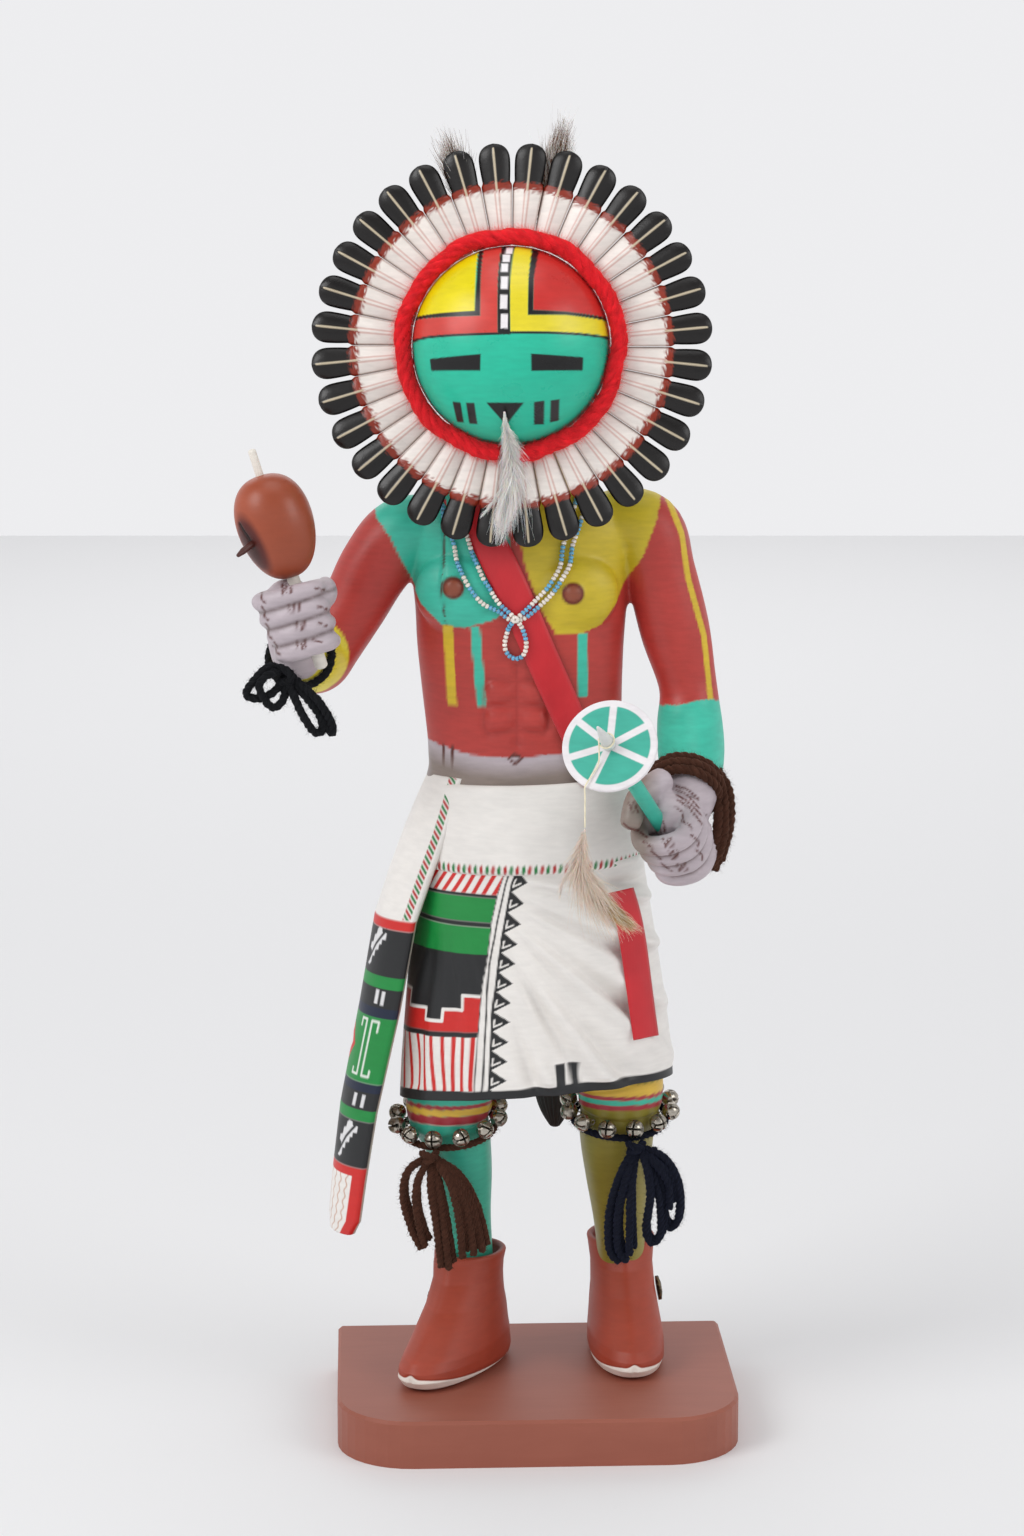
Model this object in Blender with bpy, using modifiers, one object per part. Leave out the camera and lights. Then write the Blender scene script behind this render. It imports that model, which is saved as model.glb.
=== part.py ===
"""A carved and painted wooden kachina doll of the sun type, standing on its board.

Metres, +Z up. The doll faces -Y and its own right hand is at -X. The origin is the centre of
the board's underside. The carving is measured in units, one 453rd of the figure's height, so
a place on it is at(x, y, height above the board).
"""
import math

import bpy
import bmesh
from mathutils import Matrix, Vector
from mathutils.bvhtree import BVHTree

for item in list(bpy.data.objects):
    bpy.data.objects.remove(item)

# Driving dimensions
GAP = 0.0003
FIGURE_HEIGHT = 0.453
BASE_WIDTH = 0.160
BASE_DEPTH = 0.116
BASE_THICKNESS = 0.019
BASE_CORNER_RADIUS = 0.030
BASE_REAR_RADIUS = 0.002
BASE_EDGE_RADIUS = 0.0012
BASE_TURN = math.radians(2.4)

HEAD_RADIUS = 0.0375
DOME_DEPTH = 0.029
HEAD_BACK_DEPTH = 0.044
HEAD_YAW = math.radians(3.5)
HEAD_PITCH = math.radians(7.0)

FEATHER_COUNT = 32
FEATHER_TIP_RADIUS = 0.0763
FEATHER_NOTCH_RADIUS = 0.0605
FEATHER_RIDGE = 0.0024
FEATHER_VALLEY = 0.0008
FEATHER_BACK = 0.0020
CREST_THICKNESS = 0.0022
YARN_DIAMETER = 0.0060
YARN_OPENING = math.radians(15.0)

RIBBON_WIDTH = 0.013
RIBBON_THICKNESS = 0.0007
RIBBON_LIFT = 0.0014
BEAD_DIAMETER = 0.0021
BEAD_CLEARANCE = 0.0016

GOURD_RADIUS = 0.0152
GOURD_LENGTH = 0.0400
STICK_DIAMETER = 0.0050
STICK_LENGTH = 0.0845
PEG_DIAMETER = 0.0026
PEG_LENGTH = 0.0150
PEG_SOCKET = 0.0070

ROD_DIAMETER = 0.0058
ROD_LENGTH = 0.1000
DISC_RADIUS = 0.0178
DISC_THICKNESS = 0.0016
CONE_LENGTH = 0.0150
CONE_DIAMETER = 0.0050
STRING_DIAMETER = 0.0006

BELL_DIAMETER = 0.0072
BELL_COUNT = 12
KNEE_YARN_DIAMETER = 0.0030
KNEE_RADIUS = 0.0170
STRAND_DIAMETER = 0.0044
WRIST_STRAND_DIAMETER = 0.0032
RIGHT_WRIST_RADIUS = 0.0121
LEFT_WRIST_RADIUS = 0.0148

CONCHO_DIAMETER = 0.0100
CONCHO_THICKNESS = 0.0022

UNIT = FIGURE_HEIGHT / 453.0
BOARD_TOP = Vector((0.0, 0.0, BASE_THICKNESS + GAP))

parts = bpy.data.collections.new("kachina_doll")
cutters = bpy.data.collections.new("cutters")
masses = bpy.data.collections.new("figure_masses")
bores = bpy.data.collections.new("figure_bores")
for collection in (parts, cutters, masses, bores):
    bpy.context.scene.collection.children.link(collection)


def at(x, y, height):
    """A place on the figure, in units from the middle of the board's top."""
    return Vector((x, y, height)) * UNIT + BOARD_TOP


def linear(value):
    return value / 12.92 if value <= 0.04045 else ((value + 0.055) / 1.055) ** 2.4


def paint(name, hex_colour, roughness, metallic=0.0):
    material = bpy.data.materials.new(name)
    material.use_nodes = True
    shader = material.node_tree.nodes["Principled BSDF"]
    channels = [linear(int(hex_colour[i:i + 2], 16) / 255.0) for i in (0, 2, 4)]
    shader.inputs["Base Color"].default_value = (*channels, 1.0)
    shader.inputs["Roughness"].default_value = roughness
    shader.inputs["Metallic"].default_value = metallic
    return material


def add_object(name, mesh, collection, material=None):
    item = bpy.data.objects.new(name, mesh)
    collection.objects.link(item)
    if material is not None:
        mesh.materials.clear()
        mesh.materials.append(material)
    if collection is not parts:
        item.hide_render = True
        item.display_type = "WIRE"
    return item


def mesh_from(name, work):
    """Close up a bmesh: merge doubles, point the faces out, store it."""
    bmesh.ops.remove_doubles(work, verts=work.verts, dist=1e-7)
    bmesh.ops.recalc_face_normals(work, faces=work.faces)
    mesh = bpy.data.meshes.new(name)
    work.to_mesh(mesh)
    work.free()
    return mesh


def smooth_rows(rows, steps):
    """Rows of numbers on a smooth curve through the given rows, steps to each stretch."""
    ends = [rows[0]] + list(rows) + [rows[-1]]
    result = []
    for k in range(1, len(ends) - 2):
        for step in range(steps):
            t = step / steps
            row = []
            for a, b, c, d in zip(ends[k - 1], ends[k], ends[k + 1], ends[k + 2]):
                curve = 2 * b + (c - a) * t + (2 * a - 5 * b + 4 * c - d) * t * t
                row.append(0.5 * (curve + (3 * b - a - 3 * c + d) * t ** 3))
            result.append(tuple(row))
    result.append(tuple(rows[-1]))
    return result


def loft(name, rings, collection, material=None):
    """A closed body through rings of points, each ring with the same count."""
    work = bmesh.new()
    rows = [[work.verts.new(point) for point in ring] for ring in rings]
    count = len(rows[0])
    for low, high in zip(rows, rows[1:]):
        for i in range(count):
            j = (i + 1) % count
            work.faces.new((low[i], low[j], high[j], high[i]))
    work.faces.new(list(reversed(rows[0])))
    work.faces.new(rows[-1])
    return add_object(name, mesh_from(name, work), collection, material)


def oval(centre, side, front, half_width, half_front, half_back, count, power=2.0):
    """One closed section, a rounded oval that may be deeper in front than behind."""
    ring = []
    for i in range(count):
        angle = math.tau * i / count
        c, s = math.cos(angle), math.sin(angle)
        u = math.copysign(abs(c) ** (2.0 / power), c) * half_width
        v = math.copysign(abs(s) ** (2.0 / power), s) * (half_front if s > 0 else half_back)
        ring.append(centre + side * u + front * v)
    return ring


def frame_along(axis, hint):
    """Two directions square to an axis; the first is as near to the hint as it can be."""
    axis = axis.normalized()
    side = (hint - axis * hint.dot(axis)).normalized()
    return side, axis.cross(side)


def tube(name, points, radii, collection, material=None, resolution=2, steps=1, closed=False):
    """A round rod or limb: a curve with a bevel and filled caps, made a mesh."""
    rows = [(*point, radius) for point, radius in zip(points, radii)]
    if steps > 1:
        rows = smooth_rows(rows, steps)
    curve = bpy.data.curves.new(name, "CURVE")
    curve.dimensions = "3D"
    curve.bevel_depth = 1.0
    curve.bevel_resolution = resolution
    curve.use_fill_caps = not closed
    spline = curve.splines.new("POLY")
    spline.points.add(len(rows) - 1)
    spline.use_cyclic_u = closed
    for knot, row in zip(spline.points, rows):
        knot.co = (row[0], row[1], row[2], 1.0)
        knot.radius = row[3]
    source = bpy.data.objects.new(name, curve)
    bpy.context.scene.collection.objects.link(source)
    evaluated = source.evaluated_get(bpy.context.evaluated_depsgraph_get())
    mesh = bpy.data.meshes.new_from_object(evaluated)
    bpy.data.objects.remove(source)
    work = bmesh.new()
    work.from_mesh(mesh)
    bpy.data.meshes.remove(mesh)
    return add_object(name, mesh_from(name, work), collection, material)


def turned(name, profile, sides, origin, axis, collection, material=None):
    """A turned body: a profile of (radius, distance along the axis) pairs, screwed round."""
    work = bmesh.new()
    knots = [work.verts.new((radius, 0.0, along)) for radius, along in profile]
    for a, b in zip(knots, knots[1:]):
        work.edges.new((a, b))
    mesh = bpy.data.meshes.new(name)
    work.to_mesh(mesh)
    work.free()
    source = bpy.data.objects.new(name, mesh)
    bpy.context.scene.collection.objects.link(source)
    screw = source.modifiers.new("turn", "SCREW")
    screw.steps = sides
    screw.render_steps = sides
    screw.use_merge_vertices = True
    screw.merge_threshold = 1e-6
    evaluated = source.evaluated_get(bpy.context.evaluated_depsgraph_get())
    body = bpy.data.meshes.new_from_object(evaluated)
    bpy.data.objects.remove(source)
    body.transform(Matrix.Translation(origin) @ axis.to_track_quat("Z", "Y").to_matrix().to_4x4())
    work = bmesh.new()
    work.from_mesh(body)
    bpy.data.meshes.remove(body)
    return add_object(name, mesh_from(name, work), collection, material)


def lump(name, centre, radii, collection, segments=12, rings=6, turn=None):
    """An egg-shaped mass from a stretched sphere."""
    work = bmesh.new()
    bmesh.ops.create_uvsphere(work, u_segments=segments, v_segments=rings, radius=1.0)
    shape = Matrix.Diagonal((*radii, 1.0))
    if turn is not None:
        shape = turn.to_matrix().to_4x4() @ shape
    bmesh.ops.transform(work, matrix=Matrix.Translation(centre) @ shape, verts=work.verts)
    return add_object(name, mesh_from(name, work), collection)


def settled(item):
    """Turn an object's modifiers into plain mesh, so that later pieces can rest on it."""
    evaluated = item.evaluated_get(bpy.context.evaluated_depsgraph_get())
    mesh = bpy.data.meshes.new_from_object(evaluated)
    item.modifiers.clear()
    item.data = mesh
    return item


def union_of(name, bodies, material):
    """Fuse bodies that touch into one named solid, and drop the loose ones."""
    operands = bpy.data.collections.new(name + "_strands")
    cutters.children.link(operands)
    first = bodies[0]
    for body in bodies[1:]:
        operands.objects.link(body)
    join = first.modifiers.new("fuse", "BOOLEAN")
    join.operation = "UNION"
    join.solver = "EXACT"
    join.operand_type = "COLLECTION"
    join.collection = operands
    evaluated = first.evaluated_get(bpy.context.evaluated_depsgraph_get())
    mesh = bpy.data.meshes.new_from_object(evaluated)
    for body in bodies:
        bpy.data.objects.remove(body)
    bpy.data.collections.remove(operands)
    mesh.name = name
    return add_object(name, mesh, parts, material)


def head_frame():
    """Centre of the sunburst's plane, and the face's forward, side and up directions."""
    forward = Vector((-math.sin(HEAD_YAW) * math.cos(HEAD_PITCH),
                      -math.cos(HEAD_YAW) * math.cos(HEAD_PITCH),
                      math.sin(HEAD_PITCH)))
    side = Vector((0.0, 0.0, 1.0)).cross(forward).normalized()
    up = side.cross(forward).normalized()
    if up.z < 0:
        up = -up
    return at(-9.6, -27.0, 415.6), forward, side, up


HEAD_CENTRE, FACE, FACE_SIDE, FACE_UP = head_frame()


def on_face(side, up, out):
    """A place in the head's frame: sideways, upwards and out of the sunburst's plane."""
    return HEAD_CENTRE + FACE_SIDE * side + FACE_UP * up + FACE * out


def base():
    """The board: square behind, with two large round corners in front."""
    work = bmesh.new()
    bmesh.ops.create_cube(work, size=1.0)
    box = Matrix.Diagonal((BASE_WIDTH, BASE_DEPTH, BASE_THICKNESS, 1.0))
    raised = Matrix.Translation((0.0, 0.0, BASE_THICKNESS / 2.0))
    bmesh.ops.transform(work, matrix=raised @ box, verts=work.verts)
    for is_front, radius, segments in ((True, BASE_CORNER_RADIUS, 9), (False, BASE_REAR_RADIUS, 2)):
        uprights = []
        for edge in work.edges:
            low, high = edge.verts
            upright = abs(low.co.z - high.co.z) > BASE_THICKNESS * 0.9
            corner = abs(abs(low.co.x) - BASE_WIDTH / 2.0) < 1e-5
            corner = corner and abs(abs(low.co.y) - BASE_DEPTH / 2.0) < 1e-5
            if upright and corner and (low.co.y < 0) == is_front:
                uprights.append(edge)
        bmesh.ops.bevel(work, geom=uprights, offset=radius, segments=segments, profile=0.5,
                        affect="EDGES")
    top_edges = [edge for edge in work.edges
                 if all(vert.co.z > BASE_THICKNESS * 0.99 for vert in edge.verts)
                 and any(abs(face.normal.z) < 0.5 for face in edge.link_faces)]
    bmesh.ops.bevel(work, geom=top_edges, offset=BASE_EDGE_RADIUS, segments=1, affect="EDGES")
    turn = Matrix.Rotation(BASE_TURN, 3, "Z")
    bmesh.ops.rotate(work, verts=work.verts, cent=(0, 0, 0), matrix=turn)
    add_object("base", mesh_from("base", work), parts, paint("red_brown_board", "9A5746", 0.55))


TORSO = (  # height, centre x, half width, front, back
    (240, -3.7, 37.8, 24.0, 24.4), (262, -4.4, 38.2, 22.0, 23.5),
    (280, -5.4, 39.2, 22.0, 24.0), (298, -6.0, 40.4, 22.5, 25.5), (314, -5.8, 41.4, 22.5, 27.0),
    (328, -6.0, 43.0, 21.5, 27.0), (342, -6.6, 45.0, 20.0, 26.0), (353, -7.0, 39.0, 18.5, 23.5),
    (361, -7.4, 26.0, 17.5, 19.0), (369, -7.8, 18.5, 18.0, 14.0), (388, -8.6, 17.0, 22.0, 8.0))
TORSO_SIDES = 18

RIGHT_ARM = (  # x, y, height, radius: shoulder, elbow, wrist
    (-34, 1, 343, 12.0), (-51, 1, 341, 14.6), (-62, 0, 329, 14.2), (-71, -1, 313, 13.0),
    (-80, -3, 299, 12.6), (-85, -7, 293, 13.2), (-88, -18, 294, 12.2), (-91.5, -30, 298.5, 10.0),
    (-93, -44, 306, 9.0))
LEFT_ARM = (
    (26, 1, 347, 11.0), (42, 1, 343, 14.8), (48.5, 0, 326, 13.8), (54.5, -1, 303, 13.6),
    (59.5, -2, 282, 11.4), (60.2, -6, 268, 12.8), (60.4, -16, 257, 13.0), (60.0, -30, 247, 11.0),
    (57.5, -41, 240, 9.5))

STICK_TOP = at(-106.5, -50.0, 378.0)
STICK_AIM = (at(-82.6, -53.0, 302.0) - STICK_TOP).normalized()
WAND_TOP = at(26.6, -95.0, 274.1)
WAND_AIM = Vector((0.3399, 0.7018, -0.6261)).normalized()


def fist(name, axis_start, axis, side_hint, first_row, row_pitch, size):
    """A closed hand round a stick: a palm behind it and four fingers wrapped in front."""
    side, front = frame_along(axis, side_hint)
    if front.y > 0:
        front = -front

    def grip(u, v, w):
        return axis_start + (side * u * size + front * v * size + axis * w) * UNIT

    palm = ((-0.5, 6.0, 6.0), (0.1, 11.0, 9.0), (1.6, 11.6, 9.6), (3.1, 10.5, 9.0), (3.6, 7.0, 7.0))
    rings = []
    for w, a, b in palm:
        middle = grip(4.5, -4.5, first_row + w * row_pitch)
        rings.append(oval(middle, side, front, a * size * UNIT, b * size * UNIT, b * size * UNIT, 10, 2.6))
    loft(name + "_palm", rings, masses)
    for row in range(4):
        w = first_row + row * row_pitch
        reach = 1.0 - 0.05 * row
        path = [(13, -6, w), (15.0 * reach, 2.0, w), (10.5 * reach, 9.5, w), (1.0, 11.5, w),
                (-7.5 * reach, 8.5, w + 0.6), (-9.5 * reach, 1.5, w + 0.8)]
        radii = [row_pitch * share for share in (0.54, 0.57, 0.57, 0.55, 0.52, 0.42)]
        tube(name + "_finger", [grip(*p) for p in path], [r * UNIT for r in radii], masses,
             resolution=1)
    return grip


def sash_panel():
    """The hanging end of the brocaded sash, a curved board down the right hip."""
    stations = (  # height, left edge x, arc radius, front sweep, back sweep
        (248, -42.0, 22.0, 62.0, 20.0), (238, -46.5, 23.0, 66.0, 32.0), (226, -51.5, 24.0, 68.0, 42.0),
        (208, -58.0, 24.0, 68.0, 46.0), (190, -63.8, 24.0, 67.0, 46.0), (155, -69.9, 24.0, 66.0, 46.0),
        (113, -78.0, 24.0, 62.0, 46.0), (85, -81.4, 23.0, 60.0, 44.0), (67.5, -82.9, 21.0, 60.0, 42.0),
        (61.5, -82.6, 19.0, 52.0, 36.0))
    thickness = 5.0
    spokes = 6
    rings = []
    for height, left, radius, front_sweep, back_sweep in smooth_rows(stations, 1):
        ring = []
        for skin, order in ((radius, range(spokes)), (radius - thickness, reversed(range(spokes)))):
            for k in order:
                sweep = math.radians(-front_sweep + (front_sweep + back_sweep) * k / (spokes - 1))
                ring.append(at(left + radius - skin * math.cos(sweep), skin * math.sin(sweep), height))
        rings.append(ring)
    loft("sash_panel", list(reversed(rings)), masses)


KILT_HEM = 120.0
KILT = (  # height above the hem, centre x, half width, half depth
    (0, 0.4, 54.6, 38.0), (14, 0.3, 53.8, 37.4), (28, 0.0, 52.4, 36.6), (44, -0.4, 50.6, 35.6),
    (60, -0.8, 48.6, 34.6), (76, -1.2, 46.4, 33.6), (92, -1.6, 44.2, 32.4),
    (108, -2.2, 40.4, 30.2))
KILT_SIDES = 36
KILT_RECESS = 7.0


def hem_rise(x, y):
    """The hem climbs towards the doll's left and towards the front."""
    return 0.083 * x - 0.13 * y


def kilt_fold(angle, height):
    """Carved drapery: slanting folds that deepen towards the hem, fullest on the left front."""
    across = math.cos(angle) * 54.0
    front = 0.5 - 0.5 * math.sin(angle)
    slant = height * 0.85 + across * 0.75
    drop = 1.0 - height / 118.0
    wave = math.sin(math.tau * slant / 19.0) + 0.35 * math.sin(math.tau * across / 11.0)
    strength = (0.35 + 0.65 * max(0.0, math.cos(angle + 0.5))) * (0.35 + 0.65 * front)
    return 1.9 * wave * strength * (0.25 + 0.75 * drop)


def kilt_ring(height, centre_x, half_width, half_depth, inset=0.0, lift=0.0):
    ring = []
    for i in range(KILT_SIDES):
        angle = math.tau * i / KILT_SIDES
        push = 1.0 + (kilt_fold(angle, height) - inset) / half_width
        x = centre_x + half_width * push * math.cos(angle)
        y = half_depth * push * math.sin(angle)
        fade = max(0.0, 1.0 - height / 70.0)
        ring.append(at(x, y, KILT_HEM + height + lift + hem_rise(x, y) * fade))
    return ring


def kilt():
    hem = KILT[0]
    rings = [kilt_ring(*hem, inset=6.0, lift=KILT_RECESS), kilt_ring(*hem, inset=3.2)]
    rings += [kilt_ring(*row) for row in KILT]
    loft("kilt", rings, masses)


BELT = (  # height, half width, half depth: the plain white sash wrapped over the kilt's top
    (213.0, 41.5, 31.8), (215.0, 44.2, 34.6), (232.0, 42.6, 32.6), (245.5, 40.3, 28.9),
    (247.4, 38.9, 27.2))


def belt():
    rings = []
    for height, half_width, half_depth in BELT:
        centre = at(-1.6 - (height - 213.0) * 0.055, 0.0, height)
        rings.append(oval(centre, Vector((1, 0, 0)), Vector((0, 1, 0)), half_width * UNIT,
                          half_depth * UNIT, half_depth * UNIT, 24))
    loft("belt", rings, masses)


LEGS = {  # x, y, height, radius, hip to ankle
    "right": ((-25, 4, 140, 17.0), (-33, 2, 119, 17.0), (-34.5, 3, 108, 16.2), (-31.5, 6, 96, 13.6),
              (-29.8, 11, 80, 12.4), (-28.3, 17, 60, 10.4), (-27.0, 20, 40, 9.8), (-27, 20, 26, 9.0)),
    "left": ((24, 4, 142, 17.0), (33, 4, 124, 16.8), (34.2, 6, 111, 16.0), (33.0, 10, 97, 15.0),
             (33.8, 17, 78, 13.2), (34.8, 24, 58, 10.9), (35.5, 29, 42, 9.8), (36, 31, 26, 9.0))}

BOOT = (  # height, heel end, toe end, half width, squareness
    (0.0, 2.0, 66.0, 13.0, 2.3), (4.0, 0.0, 70.0, 15.2, 2.3),
    (11.0, 0.0, 66.0, 15.2, 2.2), (18.0, 0.6, 56.0, 14.2, 2.1), (26.0, 1.0, 44.0, 13.0, 2.1),
    (35.0, 0.6, 34.5, 12.8, 2.1), (44.0, -1.0, 30.5, 14.0, 2.1), (45.0, -0.6, 30.0, 13.4, 2.1))
FEET = {  # heel place and toe place
    "right": ((-15.0, 32.0), (-50.0, -28.5)), "left": ((34.5, 53.5), (40.0, -16.0))}


def boot(name, heel, toe):
    """A moccasin: sections from the sole up to the open rim, along the foot's own line."""
    heading = Vector((toe[0] - heel[0], toe[1] - heel[1], 0.0)).normalized()
    side = Vector((-heading.y, heading.x, 0.0))
    rings = []
    for height, back, front, half_width, power in BOOT:
        middle = at(heel[0], heel[1], height) + heading * (back + front) / 2.0 * UNIT
        half = (front - back) / 2.0 * UNIT
        rings.append(oval(middle, side, heading, half_width * UNIT, half, half, 14, power))
    loft(name, rings, masses)


def head():
    """The case mask: a domed face in front, a rounded drum behind."""
    dome = [(HEAD_RADIUS * math.sin(a), DOME_DEPTH * math.cos(a))
            for a in [math.radians(d) for d in (0, 18, 36, 54, 70, 82, 90)]]
    drum = HEAD_BACK_DEPTH * 0.55
    back = [(HEAD_RADIUS * (0.985 * math.cos(a) ** 0.8), -drum - (HEAD_BACK_DEPTH - drum) * math.sin(a))
            for a in [math.radians(d) for d in (0, 25, 48, 68)]]
    profile = dome + back + [(0.0, -HEAD_BACK_DEPTH)]
    turned("head", profile, 24, HEAD_CENTRE, FACE, masses)


def carved_figure():
    """All the carved masses fused into one body, with the stick and the rod bored out."""
    x_axis, back = Vector((1, 0, 0)), Vector((0, 1, 0))
    rings = [oval(at(cx, 0, height), x_axis, back, half * UNIT, rear * UNIT, front * UNIT, TORSO_SIDES, 2.2)
             for height, cx, half, front, rear in TORSO]
    body = loft("carved_figure", rings, parts, paint("painted_figure", "B8403A", 0.5))
    for cx in (-28.0, 13.0):
        lump("chest", at(cx, -15.0, 320.0), [r * UNIT for r in (19.0, 11.5, 17.0)], masses, 10, 6)
    for cx, cy in ((-32.0, -25.4), (14.6, -25.2)):
        lump("nipple", at(cx, cy, 322.0), [r * UNIT for r in (3.9, 2.6, 3.9)], masses, 8, 4)
    for cx in (-14.0, -0.8):
        for height in (282.5, 271.0):
            lump("belly", at(cx, -20.6, height), [r * UNIT for r in (6.2, 2.6, 5.6)], masses, 8, 4)
    head()
    for name, path in (("right_arm", RIGHT_ARM), ("left_arm", LEFT_ARM)):
        tube(name, [at(*row[:3]) for row in path], [row[3] * UNIT for row in path], masses,
             resolution=3)
    fist("right_fist", STICK_TOP, STICK_AIM, Vector((-1, 0, 0)), 54.7, 7.0, 0.95)
    lump("right_thumb", at(-79.5, -51.0, 325.0), [r * UNIT for r in (4.6, 7.0, 6.0)], masses, 8, 6)
    fist("left_fist", WAND_TOP, WAND_AIM, Vector((1, 0, 0)), 58.8, 8.2, 0.9)
    thumb = [at(48, -46, 252), at(39, -55, 247), at(35.4, -60, 238)]
    tube("left_thumb", thumb, [5.4 * UNIT, 5.0 * UNIT, 4.0 * UNIT], masses, resolution=1)
    kilt()
    belt()
    sash_panel()
    for side in ("right", "left"):
        path = LEGS[side]
        tube(side + "_leg", [at(*row[:3]) for row in path], [row[3] * UNIT for row in path], masses,
             resolution=3)
        boot(side + "_boot", *FEET[side])
    pelt = [(232, 31, 9.0, 4.5), (200, 37, 10.5, 5.5), (160, 42, 11.5, 6.5), (120, 46, 10.5, 6.0),
            (100, 48, 7.5, 4.6), (88, 49, 2.0, 1.6)]
    rings = [oval(at(8.5, cy, height), x_axis, back, a * UNIT, b * UNIT, b * UNIT, 8)
             for height, cy, a, b in reversed(pelt)]
    loft("pelt_tail", rings, masses)
    bore_length = 58.0 * UNIT
    for name, start, aim, diameter, first in (
            ("stick_bore", STICK_TOP, STICK_AIM, STICK_DIAMETER, 44.0),
            ("rod_bore", WAND_TOP, WAND_AIM, ROD_DIAMETER, 46.0)):
        begin = start + aim * first * UNIT
        radius = diameter / 2.0 + GAP
        tube(name, [begin, begin + aim * bore_length], [radius, radius], bores, resolution=4)
    for operation, operands in (("UNION", masses), ("DIFFERENCE", bores)):
        step = body.modifiers.new(operation.lower(), "BOOLEAN")
        step.operation = operation
        step.solver = "EXACT"
        step.operand_type = "COLLECTION"
        step.collection = operands
    return settled(body)


def feather_halo():
    """The sunburst: a ring of carved feathers, ridged along their quills, with free round tips."""
    shares = ((0.0, 0.0), (0.16, 0.84), (0.5, 1.0), (0.84, 0.84))
    inner = HEAD_RADIUS + GAP
    rings = [[], [], [], []]
    for feather in range(FEATHER_COUNT):
        for share, reach in shares:
            angle = math.tau * (feather + share) / FEATHER_COUNT + math.pi / 2.0
            c, s = math.cos(angle), math.sin(angle)
            tip = FEATHER_NOTCH_RADIUS + (FEATHER_TIP_RADIUS - FEATHER_NOTCH_RADIUS) * reach
            rise = FEATHER_RIDGE if share == 0.5 else FEATHER_VALLEY
            edge = -FEATHER_BACK * 0.25 if share != 0.5 else FEATHER_RIDGE * 0.4
            rings[0].append(on_face(c * inner, s * inner, -FEATHER_BACK))
            rings[1].append(on_face(c * inner, s * inner, rise))
            rings[2].append(on_face(c * tip, s * tip, edge))
            rings[3].append(on_face(c * tip, s * tip, -FEATHER_BACK))
    work = bmesh.new()
    rows = [[work.verts.new(point) for point in ring] for ring in rings]
    count = len(rows[0])
    for low, high in zip(rows, rows[1:] + rows[:1]):
        for i in range(count):
            j = (i + 1) % count
            work.faces.new((low[i], low[j], high[j], high[i]))
    mesh = mesh_from("feather_halo", work)
    add_object("feather_halo", mesh, parts, paint("painted_feathers", "E8E2DA", 0.45))


def face_yarn():
    """Wool yarn laid round the face, open under the chin."""
    ring = HEAD_RADIUS + GAP + YARN_DIAMETER / 2.0
    out = FEATHER_RIDGE + GAP + YARN_DIAMETER / 2.0
    turns = 24
    points = []
    for i in range(turns + 1):
        angle = -math.pi / 2.0 + YARN_OPENING / 2.0 + (math.tau - YARN_OPENING) * i / turns
        points.append(on_face(math.cos(angle) * ring, math.sin(angle) * ring, out))
    radii = [YARN_DIAMETER / 2.0] * len(points)
    tube("face_yarn", points, radii, parts, paint("red_wool", "E02020", 0.9), resolution=1)


def feather(name, spine, widths, thickness, flat, material):
    """A flat feather: lens-shaped sections along a spine, flat to the given direction."""
    rings = []
    for k, (point, width) in enumerate(zip(spine, widths)):
        ahead = spine[min(k + 1, len(spine) - 1)] - spine[max(k - 1, 0)]
        side = ahead.cross(flat).normalized()
        half = max(0.3 * thickness, min(thickness / 2.0, width / 5.0))
        rings.append(oval(point, side, flat.normalized(), width / 2.0, half, half, 6))
    return loft(name, rings, parts, material)


def chin_feather():
    """White down at the mouth: on the dome, through the yarn's opening, to the feathers."""
    spine = []
    widths = [0.8, 2.2, 5.0, 9.0, 10.0, 8.0, 4.0]
    drops = [26.5, 30.5, 35.0, 41.0, 47.0, 52.0, 57.0]
    for drop in drops:
        radius = drop * UNIT
        swell = max(0.0, 1.0 - (radius / HEAD_RADIUS) ** 2)
        out = max(DOME_DEPTH * math.sqrt(swell), FEATHER_RIDGE) + 0.0022 + YARN_DIAMETER * 0.25
        spine.append(on_face(-0.6 * UNIT, -radius, out))
    down = paint("white_down", "EDE4DC", 0.9)
    feather("chin_feather", spine, [w * UNIT for w in widths], 0.0026, FACE, down)


def crest_feathers():
    """Two dark tufts flat behind the top of the sunburst."""
    material = paint("dark_feather", "3A2A22", 0.7)
    for name, lean, length in (("crest_feather_right", -17.0, 78.5), ("crest_feather_left", 12.0, 81.5)):
        angle = math.radians(lean)
        radii = [HEAD_RADIUS / UNIT + 2.0, 50.0, 62.0, 70.0, 76.0, length]
        widths = [2.0, 3.5, 8.0, 11.0, 9.0, 3.0]
        behind = -FEATHER_BACK - GAP - CREST_THICKNESS * 0.55
        spine = [on_face(math.sin(angle) * r * UNIT, math.cos(angle) * r * UNIT, behind)
                 for r in radii]
        feather(name, spine, [w * UNIT for w in widths], CREST_THICKNESS, FACE, material)


def surface_of(item):
    return BVHTree.FromObject(item, bpy.context.evaluated_depsgraph_get())


def laid_on(surface, point, lift):
    """The nearest place on a carved surface, raised along its normal."""
    place, normal, _, _ = surface.find_nearest(point)
    return place + normal * lift


def laid_path(surface, points, lift, steps):
    """A path through the given places, every point of it raised off the carving."""
    return [laid_on(surface, Vector(row), lift) for row in smooth_rows([tuple(p) for p in points], steps)]


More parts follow.
